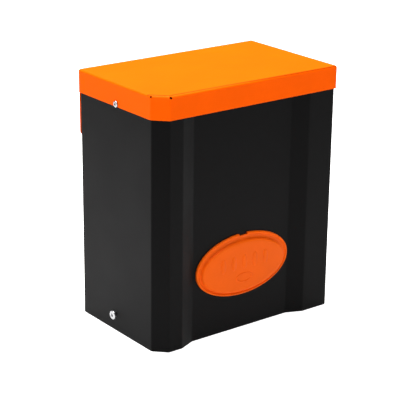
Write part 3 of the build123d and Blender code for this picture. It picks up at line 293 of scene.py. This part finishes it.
def make_cells():
    """A coarse cast or foamed grain."""
    g, given, out, where = effect("Cells", {"Size": 0.002}, "Height")
    cells = g.add("ShaderNodeTexVoronoi", {"Vector": where}, feature="F1")
    g.put(g.maths("DIVIDE", 1.0, given["Size"]), cells.inputs["Scale"])
    g.put(g.maths("ADD", cells.outputs["Distance"], g.noise(where, 900.0, 3.0)), out)


def make_turned():
    """Fine tool marks, level round the Z axis and along Y."""
    g, given, out, where = effect("Tool marks", {"Pitch": 0.0004}, "Height")
    scale = g.maths("DIVIDE", 1.0, given["Pitch"])
    near = g.add("ShaderNodeMapping", {"Vector": where, "Scale": (0.04, 1.0, 1.0)}).outputs[0]
    g.put(g.noise(near, scale, 2.0), out)


def make_fold_shade():
    """Painted shade: a dark line along the crease where the lid's top turns down at the front and at the cut
    corner.
    """
    g, given, out, where = effect("Fold shade", {"Inset": 0.0055, "Width": 0.0020}, "Mask")
    x, y, z = g.add("ShaderNodeSeparateXYZ", {0: where}).outputs
    low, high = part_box("lid")
    from_front = g.maths("SUBTRACT", y, low[1])
    corner = low[0] + low[1] + LID_CORNER
    from_corner = g.maths("MULTIPLY", g.maths("SUBTRACT", g.maths("ADD", x, y), corner), 0.7071)
    inside = g.maths("MINIMUM", from_front, from_corner)
    narrows = g.ramp(x, low[0], high[0], 1.0, 0.15)
    line = g.maths("ABSOLUTE", g.maths("SUBTRACT", inside, g.maths("MULTIPLY", given["Inset"], narrows)))
    near = g.ramp(g.maths("DIVIDE", line, given["Width"]), 1.0, 0.4)
    g.put(g.maths("MULTIPLY", near, g.ramp(z, high[2] - 0.0015, high[2] - 0.0008)), out)


def make_effects():
    for make in (
        make_mottle, make_powder, make_wear_and_highlight, make_dust, make_scratches, make_layers, make_cells, make_turned,
        make_fold_shade,
    ):
        make()


def place_effect(g, name, values, output):
    node = g.add("ShaderNodeGroup")
    node.node_tree = bpy.data.node_groups[name]
    for socket, value in values.items():
        node.inputs[socket].default_value = value
    return node.outputs[output]


def shade(c, k):
    """A colour k times as bright, with full alpha."""
    return (min(c[0] * k, 1.0), min(c[1] * k, 1.0), min(c[2] * k, 1.0), 1.0)


def finish(
    name, base, rough, metal=0.0, relief="Powder grain", relief_values=None, depth=0.00005, spread=0.12,
    wear=0.0, bare_and_highlight=(0.4, 0.4, 0.41), dust=0.0, scratches=0.0, coat=0.0, specular=0.5, rough_spread=0.08,
    fold_shade=0.0,
):
    """A principled material: mottled colour, a relief, scratches, worn edges that on the lid are partly a
    painted highlight, dust and painted shade along a fold.
    """
    material = bpy.data.materials.new(name)
    material.use_nodes = True
    g = Nodes(material.node_tree)
    shader = material.node_tree.nodes["Principled BSDF"]
    mottle = place_effect(g, "Mottle", {"Size": 0.05}, "Value")
    tint = g.mix(mottle, shade(base, 1 - spread), shade(base, 1 + spread))
    roughness = g.ramp(mottle, 0.0, 1.0, rough - rough_spread, rough + rough_spread)
    height = place_effect(g, relief, relief_values or {}, "Height")
    tint = g.mix(g.ramp(height, 0.2, 0.9, 0.0, 0.35), tint, shade(base, 1 - 2.2 * spread))
    metallic = metal
    if scratches:
        mask = place_effect(g, "Scratches", {"Amount": scratches}, "Mask")
        tint = g.mix(mask, tint, shade(base, 1.5))
        roughness = g.maths("SUBTRACT", roughness, g.maths("MULTIPLY", mask, 0.15), True)
    # Worn edges in the bare colour: real wear on most parts, and on the lid a lighter orange that is a
    # painted highlight along its folded edges.
    if wear:
        mask = place_effect(g, "Edge wear and highlight", {"Amount": wear}, "Mask")
        tint = g.mix(mask, tint, shade(bare_and_highlight, 1.0))
        metallic = g.maths("MAXIMUM", mask, metal)
    if dust:
        mask = place_effect(g, "Dust", {"Amount": dust}, "Mask")
        tint = g.mix(mask, tint, (0.42, 0.39, 0.35, 1.0))
        roughness = g.maths("ADD", roughness, g.maths("MULTIPLY", mask, 0.4), True)
    # Painted shade along the lid's fold crease: the coat is darkened to 0.3 of its colour in a thin line.
    if fold_shade:
        line = g.maths("MULTIPLY", place_effect(g, "Fold shade", {}, "Mask"), fold_shade)
        tint = g.mix(line, tint, shade(base, 0.3))
    g.put(tint, shader.inputs["Base Color"])
    g.put(roughness, shader.inputs["Roughness"])
    g.put(metallic, shader.inputs["Metallic"])
    shader.inputs["Specular IOR Level"].default_value = specular
    shader.inputs["Coat Weight"].default_value = coat
    shader.inputs["Coat Roughness"].default_value = 0.2
    bump = g.add("ShaderNodeBump", {"Height": height, "Strength": 1.0, "Distance": depth})
    g.put(bump.outputs[0], shader.inputs["Normal"])
    return material


def paint(material, *nodes):
    """Gives CAD nodes a material."""
    for name in nodes:
        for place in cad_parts[name].material_slots:
            place.material = material


# ---- Mesh tools ----------------------------------------------------------------------------


def piece(name, mesh, material, body):
    """A new piece on a body, in the scene, with its material."""
    thing = bpy.data.objects.new(name, mesh)
    bpy.context.scene.collection.objects.link(thing)
    if material is not None and not mesh.materials:
        mesh.materials.append(material)
    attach(thing, body)
    return thing


def from_rings(name, rings):
    """A closed mesh through rings of points: the first and last rings are closed with fans."""
    made = bmesh.new()
    rows = [[made.verts.new(p) for p in ring] for ring in rings]
    count = len(rows[0])
    for a, b in zip(rows, rows[1:]):
        for k in range(count):
            made.faces.new((a[k], a[(k + 1) % count], b[(k + 1) % count], b[k]))
    for row in (rows[0], rows[-1]):
        middle = made.verts.new(sum((v.co for v in row), Vector()) / count)
        for k in range(count):
            made.faces.new((row[k], row[(k + 1) % count], middle))
    bmesh.ops.remove_doubles(made, verts=made.verts, dist=1e-6)
    bmesh.ops.recalc_face_normals(made, faces=made.faces)
    mesh = bpy.data.meshes.new(name)
    made.to_mesh(mesh)
    made.free()
    shade_smooth(mesh)
    return mesh


def shade_smooth(mesh):
    mesh.polygons.foreach_set("use_smooth", [True] * len(mesh.polygons))


class Repeat:
    """A geometry node tree that instances one shape on points, then realizes it."""

    def __init__(self, name, material, inputs):
        self.tree = bpy.data.node_groups.new(name, "GeometryNodeTree")
        self.name, self.material = name, material
        self.values, self.identifiers = {}, {}
        kinds = {float: "NodeSocketFloat", int: "NodeSocketInt"}
        for label, value in inputs.items():
            socket = self.tree.interface.new_socket(label, in_out="INPUT", socket_type=kinds[type(value)])
            self.identifiers[label], self.values[label] = socket.identifier, value
        self.tree.interface.new_socket("Geometry", in_out="OUTPUT", socket_type="NodeSocketGeometry")
        self.g = Nodes(self.tree)
        self.given = self.g.add("NodeGroupInput").outputs
        self.out = self.g.add("NodeGroupOutput").inputs["Geometry"]

    def line(self, count, pitch):
        """Points in a row along X, from two of the tree's inputs."""
        step = self.g.add("ShaderNodeCombineXYZ", {0: self.given[pitch]}).outputs[0]
        values = {"Count": self.given[count], "Offset": step}
        return self.g.add("GeometryNodeMeshLine", values).outputs[0]

    def finish(self, points, shape, turn=(0.0, 0.0, 0.0), scale=(1.0, 1.0, 1.0)):
        """Instances shape on points and ends the tree."""
        g = self.g
        values = {"Points": points, "Instance": shape, "Rotation": turn, "Scale": scale}
        copies = g.add("GeometryNodeInstanceOnPoints", values)
        solid = g.add("GeometryNodeRealizeInstances", {"Geometry": copies.outputs[0]}).outputs[0]
        smooth = g.add("GeometryNodeSetShadeSmooth", {"Geometry": solid}).outputs[0]
        last = g.add("GeometryNodeSetMaterial", {"Geometry": smooth})
        last.inputs["Material"].default_value = self.material
        g.put(last.outputs[0], self.out)

    def mesh(self, place):
        """Runs the tree and returns its mesh, moved to its place (x, y, z)."""
        holder = bpy.data.objects.new(self.name, bpy.data.meshes.new(self.name))
        bpy.context.scene.collection.objects.link(holder)
        modifier = holder.modifiers.new("Repeat", "NODES")
        modifier.node_group = self.tree
        for label, identifier in self.identifiers.items():
            modifier[identifier] = self.values[label]
        view = bpy.context.evaluated_depsgraph_get()
        mesh = bpy.data.meshes.new_from_object(holder.evaluated_get(view), depsgraph=view)
        holder.modifiers.remove(modifier)
        bpy.data.objects.remove(holder)
        mesh.transform(Matrix.Translation(place))
        mesh.name = self.name
        return mesh


# ---- Operators -----------------------------------------------------------------------------


class GATE_OT_effects(Operator):
    """Builds the shared surface effects"""

    bl_idname = "gate.effects"
    bl_label = "Surface effects"

    def execute(self, context):
        make_effects()
        return {"FINISHED"}


class GATE_OT_finish_housing(Operator):
    """Powder coats the housing and the lid, and finishes what is fixed to them"""

    bl_idname = "gate.finish_housing"
    bl_label = "Housing finishes"

    def execute(self, context):
        look = context.scene.gate_finish
        grain = {"Size": look.grain}
        black = finish(
            "black_powder_coat", look.housing, 0.44, relief_values=grain, depth=0.00006, spread=0.12,
            wear=look.wear * 0.4, bare_and_highlight=(0.05, 0.05, 0.05), dust=look.dust, scratches=0.02, specular=0.06,
            rough_spread=0.02,
        )
        # The lid's lighter orange edges are partly wear and partly a painted highlight along the rounded
        # folds; its fold setting paints shade along the crease at the front.
        orange = finish(
            "orange_powder_coat", look.lid, 0.42, relief_values=grain, depth=0.00004, spread=0.025,
            wear=look.wear * 0.3, bare_and_highlight=(0.9, 0.32, 0.06), specular=0.012,
            rough_spread=0.03, fold_shade=0.9,
        )
        zinc = finish(
            "zinc_plate", look.zinc, 0.28, 1.0, "Tool marks", depth=0.00002, spread=0.08, scratches=0.3,
        )
        galvanised = finish(
            "galvanised", look.zinc, 0.42, 0.9, "Cells", {"Size": 0.006}, depth=0.00002, spread=0.16,
            scratches=0.4,
        )
        rubber = finish(
            "black_rubber", (0.02, 0.02, 0.02), 0.75, relief="Cells", relief_values={"Size": 0.0008}
        )
        foam = finish(
            "foam", (0.04, 0.04, 0.04), 0.95, relief="Cells", relief_values={"Size": 0.0011}, depth=0.0003
        )
        paint(black, "housing_shell", "rear_panel")
        paint(orange, "lid")
        paint(zinc, "side_screws", "lid_screws", "panel_screws", "rivet_nuts", "small_screws",
              "bracket_screws", "cover_bolts", "foot_bolts", "tie_rods", "pinion_bolt", "board_standoffs")
        paint(galvanised, "base_plate", "board_bracket", "capacitor_clip")
        paint(rubber, "cable_grommet", "shaft_seal")
        paint(foam, "lid_gasket")
        return {"FINISHED"}


class GATE_OT_finish_drive(Operator):
    """Finishes the castings, gears, shafts and the motor"""

    bl_idname = "gate.finish_drive"
    bl_label = "Drive finishes"

    def execute(self, context):
        look = context.scene.gate_finish
        cast = finish("cast_aluminium", look.cast, 0.5, 0.9, "Cells", {"Size": 0.0016}, depth=0.00012,
                      spread=0.10, wear=0.5, bare_and_highlight=(0.75, 0.75, 0.76), dust=0.15)
        ground = finish("ground_steel", look.steel, 0.22, 1.0, "Tool marks", depth=0.00001, spread=0.08)
        gear = finish("gear_steel", look.steel, 0.34, 1.0, "Tool marks", {"Pitch": 0.0007}, depth=0.00003,
                      spread=0.2, wear=0.9, bare_and_highlight=(0.75, 0.75, 0.76))
        bronze = finish("bronze", look.bronze, 0.34, 1.0, "Tool marks", depth=0.00003, spread=0.12,
                        wear=0.8, bare_and_highlight=(0.85, 0.6, 0.3))
        sheets = finish("laminations", (0.16, 0.16, 0.175), 0.5, 0.8, "Layers", {"Pitch": 0.001},
                        depth=0.0002, spread=0.15)
        copper = finish("copper_windings", look.copper, 0.3, 0.7, "Tool marks", depth=0.00003, coat=0.6)
        paint(cast, "gear_case", "gear_case_cover", "motor_lower_bell", "motor_top_bell")
        paint(ground, "oil_plug", "front_bearing", "rear_bearing", "worm_foot_bearing", "worm_top_bearing",
              "rotor_bearing", "output_shaft", "pinion_key", "pinion_spacer", "cross_pin", "push_rod",
              "thrust_pad", "clutch_spring")
        paint(gear, "pinion", "clutch_ring", "worm_shaft")
        paint(bronze, "worm_wheel", "release_bush")
        paint(sheets, "rotor_core", "stator_core")
        paint(copper, "motor_windings")
        return {"FINISHED"}


class GATE_OT_finish_electronics(Operator):
    """Finishes the control board, what stands on it, and the plastic parts"""

    bl_idname = "gate.finish_electronics"
    bl_label = "Electronics finishes"

    def execute(self, context):
        look = context.scene.gate_finish
        black = finish("black_plastic", (0.018, 0.018, 0.019), 0.5, relief_values={"Size": 0.0006},
                       depth=0.00003)
        white = finish("white_plastic", (0.72, 0.72, 0.68), 0.42, relief_values={"Size": 0.0008}, spread=0.05)
        green = finish("green_terminals", (0.02, 0.22, 0.07), 0.4, relief_values={"Size": 0.0008},
                       spread=0.08)
        board = finish("circuit_board", look.board, 0.3, relief="Layers", relief_values={"Pitch": 0.0025},
                       depth=0.00004, spread=0.3, coat=0.4)
        cans = finish("capacitor_cans", (0.62, 0.62, 0.64), 0.3, 0.9, "Tool marks", depth=0.00002)
        core = finish("transformer_core", (0.2, 0.2, 0.21), 0.5, 0.6, "Layers", {"Pitch": 0.0006},
                      depth=0.0001)
        paint(black, "release_tray", "release_knob", "board_relays", "board_chips", "button_switches",
              "limit_sensor")
        paint(white, "fuse_holder", "learn_button", "test_button")
        paint(green, "terminal_blocks")
        paint(board, "control_board")
        paint(cans, "board_capacitors", "run_capacitor")
        paint(core, "board_transformer")
        return {"FINISHED"}


class GATE_OT_release_cap(Operator):
    """Moulds the oval cap with its rounded rim, groove and crowned face"""

    bl_idname = "gate.release_cap"
    bl_label = "Release cap"

    def execute(self, context):
        look = context.scene.gate_finish
        plastic = finish("orange_plastic", look.cap, 0.36, relief_values={"Size": 0.0009}, depth=0.00003,
                         spread=0.03, specular=0.05)
        detail = context.scene.gate_detail
        rings = [cap_ring(*p) for p in (*reversed(CAP_FRONT), *CAP_BACK)]
        mesh = notched(from_rings("oval_cap", rings), detail)
        cap = piece("oval_cap", mesh, plastic, "cap_body")
        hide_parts("release_cap")
        self.ribs(detail, plastic)
        self.bead(plastic)
        return {"FINISHED"}

    def ribs(self, detail, plastic):
        """Raised grip ribs with round ends across the cap's face."""
        tree = Repeat("cap_ribs", plastic, {"Count": detail.ribs, "Pitch": detail.rib_pitch})
        g = tree.g
        gaps = g.maths("SUBTRACT", tree.given["Count"], 1)
        left_end = g.maths("MULTIPLY", gaps, g.maths("MULTIPLY", tree.given["Pitch"], -0.5))
        start = g.add("ShaderNodeCombineXYZ", {0: left_end}).outputs[0]
        step = g.add("ShaderNodeCombineXYZ", {0: tree.given["Pitch"]}).outputs[0]
        values = {"Count": tree.given["Count"], "Start Location": start, "Offset": step}
        line = g.add("GeometryNodeMeshLine", values)
        dome = g.add("GeometryNodeMeshUVSphere", {"Segments": 24, "Rings": 14, "Radius": 0.5}).outputs["Mesh"]
        tree.finish(line.outputs[0], dome, scale=(detail.rib_width, RIB_HEIGHT, detail.rib_length))
        mesh = tree.mesh((axis_x, cap_seat() - CAP_FACE, axis_z + RIBS_ABOVE_CENTRE))
        piece("cap_ribs", mesh, None, "cap_body")

    def bead(self, plastic):
        """A small raised oval under the ribs."""
        made = bmesh.new()
        around, across = 48, 10
        rows = []
        for k in range(around):
            t = 2 * pi * k / around
            row = []
            for j in range(across):
                u = 2 * pi * j / across
                r = 1.0 + BEAD_ROLL * cos(u)
                spot = (BEAD_RADII[0] * r * cos(t), -BEAD_HEIGHT * sin(u), BEAD_RADII[1] * r * sin(t))
                row.append(made.verts.new(spot))
            rows.append(row)
        for k in range(around):
            a, b = rows[k], rows[(k + 1) % around]
            for j in range(across):
                made.faces.new((a[j], a[(j + 1) % across], b[(j + 1) % across], b[j]))
        bmesh.ops.recalc_face_normals(made, faces=made.faces)
        mesh = bpy.data.meshes.new("cap_bead")
        made.to_mesh(mesh)
        made.free()
        shade_smooth(mesh)
        sunk = 0.0002
        spot = (axis_x, cap_seat() - CAP_FACE + sunk, axis_z - BEAD_BELOW_CENTRE)
        mesh.transform(Matrix.Translation(spot))
        piece("cap_bead", mesh, plastic, "cap_body")


def cap_seat():
    """The plane of the front panel that the cap's rim sits on."""
    return cap_high[1] - CAP_SKIRT


def cap_ring(inset, rise, drop):
    """One oval ring of the cap."""
    a = (cap_high[0] - cap_low[0]) / 2 - inset * MM
    b = axis_z - cap_low[2] - inset * MM
    y, z = cap_seat() - rise * MM, axis_z - drop * MM
    turns = [2 * pi * k / CAP_STEPS for k in range(CAP_STEPS)]
    return [Vector((axis_x + a * cos(t), y, z + b * sin(t))) for t in turns]


def notched(mesh, detail):
    """Cuts the finger notch into the top of the cap's rim."""
    made = bmesh.new()
    bmesh.ops.create_cube(made, size=1.0)
    block = bpy.data.meshes.new("notch")
    made.to_mesh(block)
    made.free()
    side = 0.02
    past_panel = 0.0005  # how far the block reaches behind the front panel's face
    block.transform(Matrix.Diagonal((detail.notch_width, side, side, 1.0)))
    top = axis_z + (axis_z - cap_low[2])
    spot = (axis_x, cap_seat() + past_panel - side / 2, top - detail.notch_depth + side / 2)
    block.transform(Matrix.Translation(spot))
    things = [bpy.data.objects.new(m.name, m) for m in (mesh, block)]
    for thing in things:
        bpy.context.scene.collection.objects.link(thing)
    cut = things[0].modifiers.new("Notch", "BOOLEAN")
    cut.object, cut.operation, cut.solver = things[1], "DIFFERENCE", "EXACT"
    view = bpy.context.evaluated_depsgraph_get()
    result = bpy.data.meshes.new_from_object(things[0].evaluated_get(view), depsgraph=view)
    for thing in things:
        bpy.data.objects.remove(thing)
    result.name = "oval_cap"
    return result


class GATE_OT_windings(Operator):
    """Winds the coil ends of the motor out of single bundles"""

    bl_idname = "gate.windings"
    bl_label = "Windings"

    def execute(self, context):
        detail = context.scene.gate_detail
        copper = bpy.data.materials["copper_windings"]
        outer = (winding_high[0] - winding_low[0]) / 2
        inner = stator_bore() + COIL_GAP
        inputs = {"Turns": detail.turns, "Radius": (outer + inner) / 2, "Strand": detail.strand}
        half = COIL_END / 2
        for name, z in (("lower_turns", winding_low[2] + half), ("upper_turns", winding_high[2] - half)):
            tree = Repeat(name, copper, inputs)
            g, given = tree.g, tree.given
            ring = g.add("GeometryNodeMeshCircle", {"Vertices": given["Turns"], "Radius": given["Radius"]})
            loop, thin = (
                g.add("GeometryNodeCurvePrimitiveCircle", {"Resolution": steps, "Radius": radius}).outputs[0]
                for steps, radius in ((14, half), (6, given["Strand"]))
            )
            bundle = g.add("GeometryNodeCurveToMesh", {"Curve": loop, "Profile Curve": thin}).outputs[0]
            where = g.add("GeometryNodeInputPosition").outputs[0]
            parts = g.add("ShaderNodeSeparateXYZ", {0: where}).outputs
            angle = g.maths("ARCTAN2", parts["Y"], parts["X"])
            turn = g.add("ShaderNodeCombineXYZ", {0: pi / 2, 1: 0.0, 2: angle}).outputs[0]
            tree.finish(ring.outputs[0], bundle, turn)
            piece(name, tree.mesh((motor_x, motor_y, z)), None, HOUSING)
        return {"FINISHED"}


def stator_bore():
    """Radius of the hole in the stator."""
    low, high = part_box("rotor_core")
    return (high[0] - low[0]) / 2 + ROTOR_GAP


class GATE_OT_board_parts(Operator):
    """Solders rows of small parts to the control board and puts screws in its terminals"""

    bl_idname = "gate.board_parts"
    bl_label = "Board parts"

    def execute(self, context):
        long = context.scene.gate_detail.resistor
        # Name, finish, count, pitch, place of the first on the board, and size of each
        rows = (
            ("chip_resistors", "black_plastic", 12, 0.0052, (0.012, 0.078), (long, 0.0007, long * 0.55)),
            ("chip_capacitors", "white_plastic", 9, 0.0058, (0.056, 0.046), (long * 0.8, 0.0012, long * 0.6)),
            ("test_points", "zinc_plate", 7, 0.0061, (0.012, 0.052), (0.0014, 0.0005, 0.0014)),
        )
        for name, finish_name, count, pitch, (x, z), box in rows:
            tree = Repeat(name, bpy.data.materials[finish_name], {"Count": count, "Pitch": pitch})
            shape = tree.g.add("GeometryNodeMeshCube", {"Size": box}).outputs["Mesh"]
            tree.finish(tree.line("Count", "Pitch"), shape)
            spot = (board_low[0] + x, board_low[1] - box[1] / 2, board_low[2] + z)
            piece(name, tree.mesh(spot), None, HOUSING)
        self.terminal_screws(bpy.data.materials["zinc_plate"])
        return {"FINISHED"}

    def terminal_screws(self, zinc):
        """A flat screw in each terminal's well."""
        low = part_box("terminal_blocks")[0]
        tree = Repeat("terminal_screws", zinc, {"Ways": 6, "Pitch": 0.005, "Blocks": 3, "Block pitch": 0.034})
        g = tree.g
        radius, depth = TERMINAL_SCREW
        disc = g.add("GeometryNodeMeshCylinder", {"Vertices": 16, "Radius": radius, "Depth": depth})
        ways = tree.line("Ways", "Pitch")
        values = {"Points": ways, "Instance": disc.outputs["Mesh"], "Rotation": (pi / 2, 0, 0)}
        row = g.add("GeometryNodeInstanceOnPoints", values).outputs[0]
        tree.finish(tree.line("Blocks", "Block pitch"), row)
        spot = Vector(low) + Vector(TERMINAL_WELL)
        piece("terminal_screws", tree.mesh(spot), None, HOUSING)


class GATE_OT_knob_grips(Operator):
    """Puts finger ridges on the wings of the release knob"""

    bl_idname = "gate.knob_grips"
    bl_label = "Knob grips"

    def execute(self, context):
        black = bpy.data.materials["black_plastic"]
        low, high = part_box("release_knob")
        pitch, sunk = KNOB_RIDGE_PITCH, 0.0001
        tree = Repeat("knob_grips", black, {"Count": KNOB_RIDGES, "Pitch": pitch})
        ridge = tree.g.add("GeometryNodeMeshUVSphere", {"Segments": 12, "Rings": 8, "Radius": 0.5})
        tree.finish(tree.line("Count", "Pitch"), ridge.outputs["Mesh"], scale=KNOB_RIDGE)
        left = tree.mesh((low[0] + pitch, low[1] + sunk, axis_z))
        right = left.copy()
        between = high[0] - low[0] - 2 * pitch - (KNOB_RIDGES - 1) * pitch
        right.transform(Matrix.Translation((between, 0, 0)))
        piece("knob_grips_left", left, None, "knob_body")
        piece("knob_grips_right", right, None, "knob_body")
        return {"FINISHED"}


class GATE_OT_stage(Operator):
    """Sets the camera, the soft lights and the pale floor"""

    bl_idname = "gate.stage"
    bl_label = "Stage"

    def execute(self, context):
        look = context.scene.gate_stage
        camera_data = bpy.data.cameras.new("Camera")
        camera_data.lens, camera_data.sensor_width = look.lens, 36.0
        camera = bpy.data.objects.new("Camera", camera_data)
        context.scene.collection.objects.link(camera)
        camera.matrix_world = camera_matrix(
            Vector(look.aim), look.azimuth, look.elevation, look.distance, look.roll
        )
        context.scene.camera = camera
        context.scene.view_settings.view_transform = "Standard"
        self.light(context, "Top light", (-0.1, 0.25, 1.6), 1.5, look.top_power)
        self.light(context, "Left light", (-1.9, 0.1, 0.35), 1.3, look.left_power)
        self.light(context, "Front light", (0.5, -2.2, 0.8), 1.4, look.front_power)
        self.world(context, look.surround)
        self.floor(context, look)
        return {"FINISHED"}

    def light(self, context, name, place, width, power):
        data = bpy.data.lights.new(name, "AREA")
        data.shape, data.size, data.size_y, data.energy = "RECTANGLE", width, width, power
        lamp = bpy.data.objects.new(name, data)
        context.scene.collection.objects.link(lamp)
        lamp.location = place
        middle = Vector((0, 0, 0.18))
        lamp.rotation_euler = (middle - Vector(place)).to_track_quat("-Z", "Y").to_euler()

    def world(self, context, strength):
        world = bpy.data.worlds.new("Studio")
        world.use_nodes = True
        background = world.node_tree.nodes["Background"]
        background.inputs["Color"].default_value = (1, 1, 1, 1)
        background.inputs["Strength"].default_value = strength
        context.scene.world = world

    def floor(self, context, look):
        mesh = bpy.data.meshes.new("Floor")
        half = 12.0
        corners = [(-half, -half, 0), (half, -half, 0), (half, half, 0), (-half, half, 0)]
        mesh.from_pydata(corners, [], [(0, 1, 2, 3)])
        material = bpy.data.materials.new("floor")
        material.use_nodes = True
        shader = material.node_tree.nodes["Principled BSDF"]
        shader.inputs["Base Color"].default_value = (*look.floor, 1.0)
        shader.inputs["Roughness"].default_value = 0.9
        shader.inputs["Specular IOR Level"].default_value = 0.0
        shader.inputs["Emission Color"].default_value = (1.0, 1.0, 1.0, 1.0)
        g = Nodes(material.node_tree)
        seen = g.add("ShaderNodeLightPath").outputs["Is Camera Ray"]
        extra = g.maths("MULTIPLY", seen, look.camera_glow)
        g.put(g.maths("ADD", extra, look.glow), shader.inputs["Emission Strength"])
        mesh.materials.append(material)
        floor = bpy.data.objects.new("Floor", mesh)
        context.scene.collection.objects.link(floor)


def camera_matrix(aim, azimuth, elevation, distance, roll):
    """Where the camera stands: azimuth 0 looks along +Y, and a negative one is to the left of that."""
    back = Vector((sin(azimuth) * cos(elevation), -cos(azimuth) * cos(elevation), sin(elevation)))
    turn = back.to_track_quat("Z", "Y").to_matrix().to_4x4()
    return Matrix.Translation(aim + back * distance) @ turn @ Matrix.Rotation(roll, 4, "Z")


class GATE_PT_panel(Panel):
    """Lists the operators and their sizes"""

    bl_idname = "GATE_PT_panel"
    bl_label = "Gate Operator"
    bl_space_type = "VIEW_3D"
    bl_region_type = "UI"
    bl_category = "Gate Operator"

    def draw(self, context):
        for kind in CLASSES:
            if issubclass(kind, Operator):
                self.layout.operator(kind.bl_idname)
        for group in (context.scene.gate_stage, context.scene.gate_finish, context.scene.gate_detail):
            box = self.layout.box()
            for name in group.__annotations__:
                box.prop(group, name)


CLASSES = (
    GateStage, GateFinish, GateDetail, GATE_OT_effects, GATE_OT_finish_housing, GATE_OT_finish_drive,
    GATE_OT_finish_electronics, GATE_OT_release_cap, GATE_OT_windings, GATE_OT_board_parts,
    GATE_OT_knob_grips, GATE_OT_stage, GATE_PT_panel,
)


def register():
    for kind in CLASSES:
        bpy.utils.register_class(kind)
    bpy.types.Scene.gate_stage = PointerProperty(type=GateStage)
    bpy.types.Scene.gate_finish = PointerProperty(type=GateFinish)
    bpy.types.Scene.gate_detail = PointerProperty(type=GateDetail)


def unregister():
    del bpy.types.Scene.gate_detail, bpy.types.Scene.gate_finish, bpy.types.Scene.gate_stage
    for kind in reversed(CLASSES):
        bpy.utils.unregister_class(kind)


def main():
    register()
    bpy.ops.gate.stage()
    bpy.ops.gate.effects()
    bpy.ops.gate.finish_housing()
    bpy.ops.gate.finish_drive()
    bpy.ops.gate.finish_electronics()
    bpy.ops.gate.release_cap()
    bpy.ops.gate.windings()
    bpy.ops.gate.board_parts()
    bpy.ops.gate.knob_grips()


if __name__ == "__main__":
    main()
